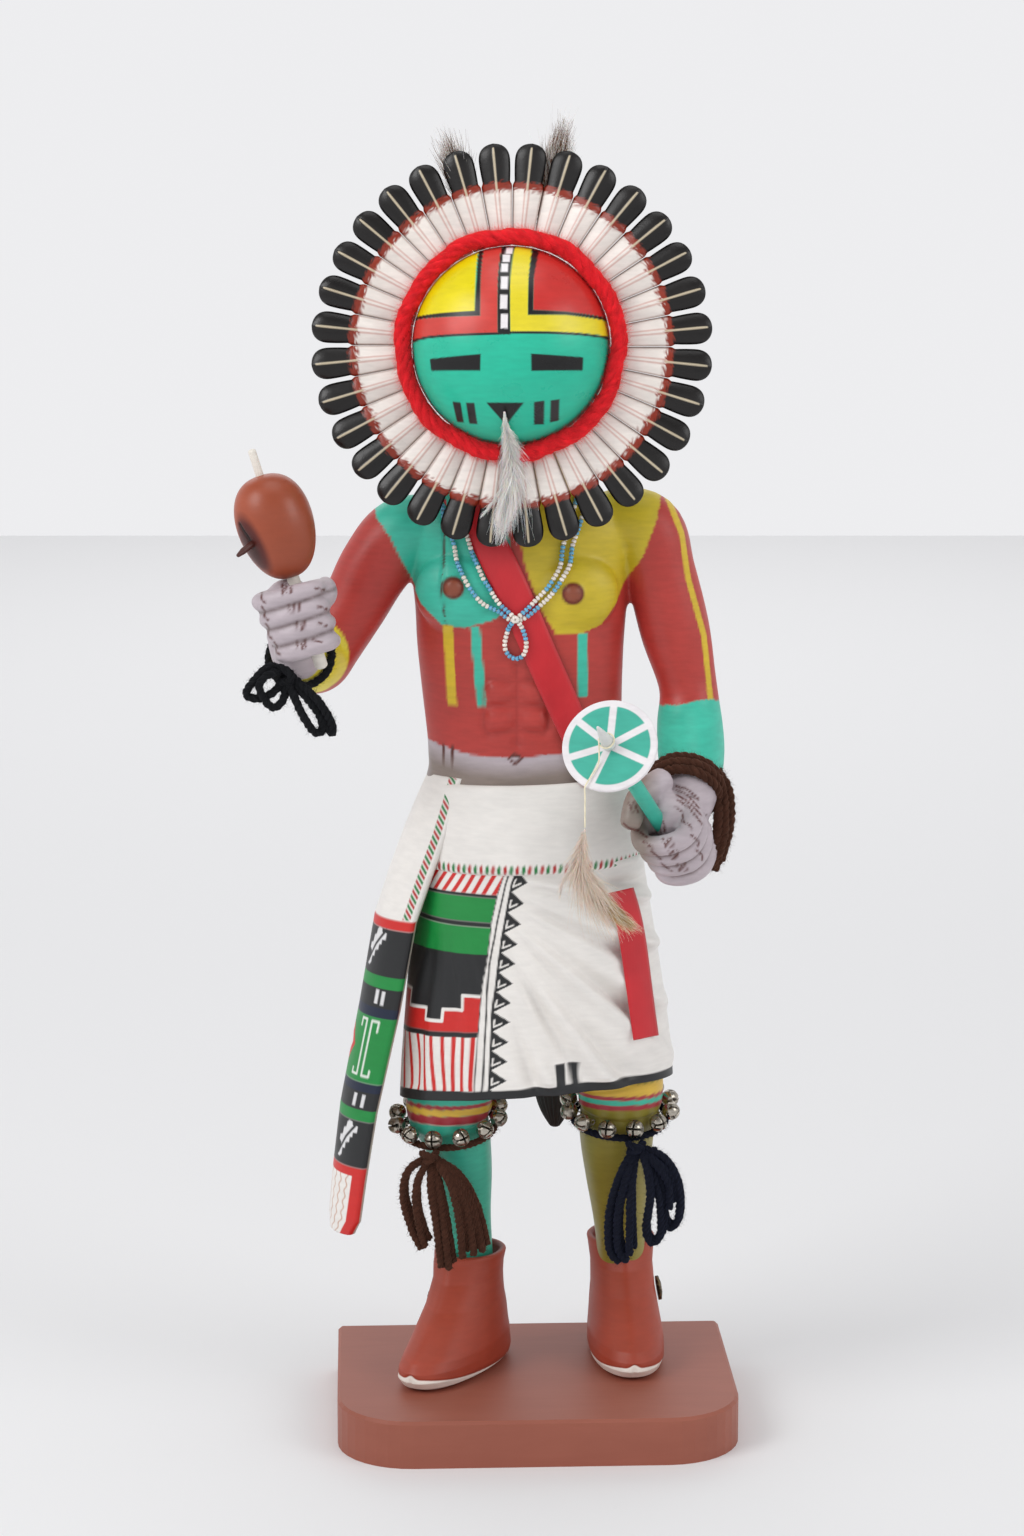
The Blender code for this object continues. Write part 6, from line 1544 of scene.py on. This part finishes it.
BLACK_WOOL = "17181A"
BROWN_WOOL = "40251B"
NAVY_WOOL = "14161F"
right_axis = np.array(RIGHT_ARM[-1][:3]) - np.array(RIGHT_ARM[-3][:3])
black_routes = [
    ring_route((-90.6, -27.0, 316.5), right_axis, 12.4, 20, 0.5),
    ((-92, -25, 302.1), (-94, -44, 305.8), (-95.5, -58, 315.3)),
    ((-95, -55, 314.5), (-100, -60, 317.5), (-106, -62, 312.5), (-109, -61.5, 307), (-104, -61, 305.5),
     (-98, -60, 308.5), (-95, -57, 313)),
    ((-95, -56, 315), (-100, -62, 315), (-104, -63, 311), (-102, -62, 305), (-98.5, -61, 302),
     (-95, -60, 305.5), (-94.5, -58, 312)),
    ((-95, -57, 314), (-91.5, -60.5, 307), (-88, -60, 299), (-84, -58.5, 292.5), (-81, -57.5, 292.5),
     (-81.5, -58, 298), (-86, -59.5, 305), (-93, -58, 313)),
    ((-95, -55.5, 314.5), (-88.5, -59, 309), (-83, -58.5, 301), (-78.8, -57, 293.5), (-77.0, -57, 291.5),
     (-77.4, -58, 296), (-82.5, -60.5, 305), (-92, -58.5, 313.5)),
    ((-97, -58.5, 317), (-93, -60.5, 315.5), (-92.5, -60.0, 312), (-97, -59.5, 311.5))]
parts_made = [yarn("black_wrist_wool", route, 1.6, 7.5, BLACK_WOOL, 22.0, 2.2) for route in black_routes]
black_wool = woolly("black_wool", "3C3C44")
finished(joined("black_wrist_wool", parts_made), black_wool, "black_wool", "wrist_yarn_black")
left_axis = unit(np.array(LEFT_ARM[-1][:3]) - np.array(LEFT_ARM[-3][:3]))
centre = np.array((57.6, -31.0, 266.0))
brown_routes = [ring_route(centre + left_axis * slip, left_axis, radius, 22, 0.6)
                for slip, radius in ((-3.0, 13.2), (0.4, 13.8), (3.4, 12.8))]
brown_routes += [
    ((69, -27, 273), (72, -33, 264), (72, -38, 250), (68, -41, 237)),
    ((69, -29, 270), (70, -36, 259), (69, -40, 246), (65, -43, 236)),
    ((68, -25, 274), (74, -31, 265), (74.5, -35, 252), (71, -38, 239)),
    ((70, -27, 272), (73, -29, 262), (73, -34, 247), (68.5, -39, 235.3)),
    ((68, -28, 273), (70, -34, 262), (72.5, -37, 251), (69.5, -41, 240))]
parts_made = [yarn("brown_wrist_wool", route, 1.95, 9.0, BROWN_WOOL, 26.0, 2.4) for route in brown_routes]
brown_wool = woolly("brown_wool", "8A6A58")
finished(joined("brown_wrist_wool", parts_made), brown_wool, "brown_wrist_wool", "wrist_yarn_brown")

# ---- Knee yarns: brown wool on one leg, blue-black on the other, tied in front below the knee
# with some loops and some cut ends hanging. A ring of small bells is threaded on each.
KNEES = {"right": (np.array((-34.6, 3.2, 120.7)), np.array((-0.08, -0.20, 1.0))),
         "left": (np.array((34.0, 7.0, 123.9)), np.array((0.0, -0.22, 1.0)))}
TASSELS = {
    "right": ((((-42, -16.6, 114), (-50.5, -20.5, 109), (-52.5, -20.5, 98), (-49, -19, 84),
               (-45.5, -18, 76.5)), 1.57),
              (((-41.5, -17, 113), (-46.5, -22, 106), (-47.5, -21.5, 95), (-45.5, -19.5, 83),
               (-44, -18.5, 77.5)), 1.52),
              (((-41, -17, 113), (-41.5, -22, 103), (-39.5, -21, 88), (-37.5, -18.5, 69)), 1.62),
              (((-41, -17, 113), (-38.5, -21.5, 103), (-36.5, -21, 88), (-34.5, -18.5, 68)), 1.57),
              (((-41, -17, 114), (-34, -23, 105), (-30.5, -21.5, 90), (-29, -19, 73)), 1.62),
              (((-41, -17, 114), (-32.5, -22, 106), (-27, -20.5, 91), (-24.5, -18.5, 74)), 1.62),
              (((-41, -17, 114), (-31, -20.5, 107), (-24.5, -19, 93), (-21, -17.5, 75)), 1.52)),
    "left": ((((40, -14, 117), (34, -18.5, 108), (29.5, -17.5, 92), (29.5, -14.5, 75),
              (33.5, -14, 69.5)), 1.62),
             (((40, -14, 117), (36, -19.5, 106), (32.8, -18.5, 91), (33.0, -15.5, 76),
              (36.5, -14.5, 70)), 1.62),
             (((40.5, -14, 117), (38, -19.5, 104), (37.5, -18.5, 88), (37.5, -15.5, 73)), 1.62),
             (((41, -14, 117), (44, -18.5, 110), (45.5, -18, 98), (44, -15.5, 84), (46.0, -14, 77.5),
               (49.5, -13.8, 79.5), (50.0, -14.5, 88), (48.5, -16.5, 100), (44, -17, 113)), 1.57),
             (((42, -14, 117), (51, -16, 113), (56, -15, 104), (57.5, -13.5, 94), (56.5, -12, 85),
               (53, -12, 83), (50.5, -13.5, 88), (50.5, -15, 101), (45, -16, 114)), 1.57),
             (((41, -15, 116), (47.5, -18, 111), (52.8, -16.5, 103), (53.5, -15, 92)), 1.52))}
TIED = {"right": ("brown_knee_wool", BROWN_WOOL, "brown_wool", "knee_yarn_brown", (-42, -16.6, 114.1)),
        "left": ("navy_knee_wool", NAVY_WOOL, "navy_wool", "knee_yarn_navy", (40, -13.2, 116.9))}
KNOT_TURNS = (((-3.2, -0.5, 1.4), (-0.5, -3.6, 1.0), (3.0, -1.5, -0.6), (1.5, 2.2, -1.6)),
              ((2.8, -0.5, 2.0), (0.2, -3.9, -0.6), (-2.8, -1.2, -2.4), (-0.8, 2.0, 0.0)))
navy_wool = woolly("navy_wool", "3A4468")
for side_name, (centre, axis) in KNEES.items():
    name, hex_colour, slot, node, knot = TIED[side_name]
    knot = np.array(knot)
    routes = [(ring_route(centre, axis, 18.7, 24, 0.3), 1.45)]
    routes += [(knot + np.array(turn), 1.5) for turn in KNOT_TURNS]
    for route, radius in TASSELS[side_name]:
        route = np.array(route, dtype=float)
        apart = np.linspace(0.0, 1.0, len(route))[:, None]
        routes += [(route, radius), (route + apart * (1.9, 1.3, 2.6), radius * 0.94)]
    parts_made = [yarn(name, route, radius, 7.0, hex_colour, 20.0, 2.2) for route, radius in routes]
    finished(joined(name, parts_made), brown_wool if side_name == "right" else navy_wool, slot, node)

# ---- Bells: pressed nickel jingle bells, two halves folded together, with a cross cut in the
# lower one and a wire loop on the upper. Each hangs mouth outwards from the knee yarn.
BELL_RADIUS = 3.55
BELL_COUNT = 12
band = np.linspace(0.0, math.pi, 49)
spin = np.linspace(0.0, math.tau, 65)[:-1]
unit_grid = np.stack([np.sin(band)[:, None] * np.cos(spin), np.sin(band)[:, None] * np.sin(spin),
                      np.cos(band)[:, None] + 0.0 * spin], axis=-1)
from_slot = np.minimum(np.abs(unit_grid[..., 0]), np.abs(unit_grid[..., 1])) * BELL_RADIUS
slot_dent_and_shade = np.clip((0.42 - from_slot) / 0.22, 0.0, 1.0) * np.clip((-0.12 - unit_grid[..., 2]) / 0.1, 0.0, 1.0)
from_hole = np.hypot(np.hypot(unit_grid[..., 0], unit_grid[..., 1]) - 0.98, unit_grid[..., 2] + 0.22)
end_hole = np.clip((0.75 - from_hole * BELL_RADIUS) / 0.2, 0.0, 1.0) * (from_slot < 0.9)
slot_dent_and_shade = np.maximum(slot_dent_and_shade, end_hole)
seam = np.exp(-((unit_grid[..., 2]) / 0.05) ** 2)
shell_radius = BELL_RADIUS * (1.0 + 0.045 * seam) - 1.5 * slot_dent_and_shade
# Painted shade: the dented cross slots and their end holes are painted near-black for the dark inside of the
# bell.
bell_colours = np.tile(linear("B9B2A6"), (*slot_dent_and_shade.shape, 1)) * (1.0 - 0.9 * slot_dent_and_shade)[..., None]
bell_body = skin("bell", unit_grid * shell_radius[..., None], bell_colours)
loop_turn = np.linspace(0.0, math.tau, 26)
loop_line = np.stack([1.15 * np.cos(loop_turn), 0.0 * loop_turn,
                      BELL_RADIUS + 0.55 + 1.0 * np.sin(loop_turn)], axis=-1)
grid = rod_grid(loop_line, 0.26, 8)
bell_loop = skin("bell_loop", grid, np.tile(linear("B9B2A6"), (*grid.shape[:2], 1)))
bell_model = joined("bell_model", [bell_body, bell_loop])
bell_paint = np.empty(len(bell_model.data.vertices) * 4)
bell_model.data.color_attributes["paint"].data.foreach_get("color", bell_paint)
bell_paint = bell_paint.reshape(-1, 4)[:, :3]
nickel, tree, shader = new_material("tarnished_nickel_plate")
tint = add_node(tree, "ShaderNodeAttribute", attribute_name="paint")
where = add_node(tree, "ShaderNodeTexCoord").outputs["Object"]
tarnish = add_node(tree, "ShaderNodeTexNoise", {"Vector": where, "Scale": 190.0, "Detail": 4.0})
dull = add_node(tree, "ShaderNodeMapRange", {"Value": tarnish.outputs[0], "From Min": 0.35, "From Max": 0.7,
                                              "To Min": 0.14, "To Max": 0.42})
tone = add_node(tree, "ShaderNodeMapRange", {"Value": tarnish.outputs[0], "From Min": 0.3, "From Max": 0.75,
                                              "To Min": 1.1, "To Max": 0.6})
colour = add_node(tree, "ShaderNodeVectorMath", {0: tint.outputs["Color"], 1: tone.outputs[0]},
                  operation="MULTIPLY")
tree.links.new(colour.outputs[0], shader.inputs["Base Color"])
tree.links.new(dull.outputs[0], shader.inputs["Roughness"])
shader.inputs["Metallic"].default_value = 1.0
for side_name, (centre, axis) in KNEES.items():
    axis = unit(axis)
    across = unit(np.array((1.0, 0.0, 0.0)) - axis * axis[0])
    ahead = np.cross(axis, across)
    for k in range(BELL_COUNT):
        bearing = math.tau * (k + 0.5) / BELL_COUNT
        out = across * math.cos(bearing) + ahead * math.sin(bearing)
        place = centre + out * 21.2 + axis * 4.98
        hang = out * -0.75 - axis * 0.35 + rng.normal(0.0, 0.22, 3)
        bell = copies("bell_%s_%02d_shell" % (side_name, k + 1), bell_model, place[None], hang[None],
                      rolls=rng.uniform(0.0, math.tau, 1))
        spread_paint(bell.data, bell_paint)
        finished(bell, nickel, "nickel_bell", "bell_%s_%02d" % (side_name, k + 1))
bpy.data.objects.remove(bell_model)

# ---- Conchos: a small cast bronze button pinned to the outer side of each boot, domed, with
# a rayed face and a beaded edge.
CONCHO_RADIUS = 5.0
bronze, tree, shader = new_material("dark_cast_bronze")
where = add_node(tree, "ShaderNodeTexCoord").outputs["Object"]
wear = add_node(tree, "ShaderNodeTexNoise", {"Vector": where, "Scale": 420.0, "Detail": 4.0})
patina = add_node(tree, "ShaderNodeValToRGB", {"Fac": wear.outputs[0]})
for element, (position, colour) in zip(patina.color_ramp.elements, ((0.38, "2E261E"), (0.68, "8A7656"))):
    element.position = position
    element.color = (*linear(colour), 1.0)
tree.links.new(patina.outputs[0], shader.inputs["Base Color"])
shader.inputs["Metallic"].default_value = 0.9
shader.inputs["Roughness"].default_value = 0.42
reach = np.concatenate([np.linspace(0.0, 4.3, 30), np.linspace(4.42, CONCHO_RADIUS, 8)])
around = np.linspace(0.0, math.tau, 145)[:-1]
dome = 2.0 - 1.0 * (reach / CONCHO_RADIUS) ** 2
rays = 0.16 * np.sin(around * 12.0)[None] * (np.clip(reach - 0.9, 0, 1) * (reach < 3.9))[:, None]
beads_round = 0.25 * np.abs(np.sin(around * 12.0))[None] * (reach > 4.2)[:, None]
face = dome[:, None] + rays + beads_round - 0.22 * np.exp(-((reach - 4.15) / 0.16) ** 2)[:, None]
grid = np.stack([reach[:, None] * np.cos(around), reach[:, None] * np.sin(around), face], axis=-1)
rim_low = grid[-1] * (1.0, 1.0, 0.0) + (0.0, 0.0, 0.0)
grid = np.concatenate([grid, rim_low[None], 0.0 * rim_low[None]])
concho_model = skin("concho_model", grid)
boot_tree = surfaces(boots)
for side_name, (heel, toe) in zip(("right", "left"), FEET):
    heel, toe = np.array((*heel, 0.0)), np.array((*toe, 0.0))
    heading = unit(toe - heel)
    out = np.array((-heading[1], heading[0], 0.0))
    out *= np.sign(out[0]) * (1.0 if side_name == "left" else -1.0)
    middle = heel + heading * 24.0 + (0.0, 0.0, BOARD_TOP + 24.0)
    hit, face_normal, _, _ = boot_tree.ray_cast(Vector(middle + out * 40.0), Vector(-out))
    lift = 0.3 + CONCHO_RADIUS ** 2 / 52.0
    button = copies("bronze_concho_" + side_name, concho_model,
                    (np.array(hit) + np.array(face_normal) * lift)[None], np.array(face_normal)[None])
    finished(button, bronze, "dark_bronze", "concho_" + side_name)
bpy.data.objects.remove(concho_model)
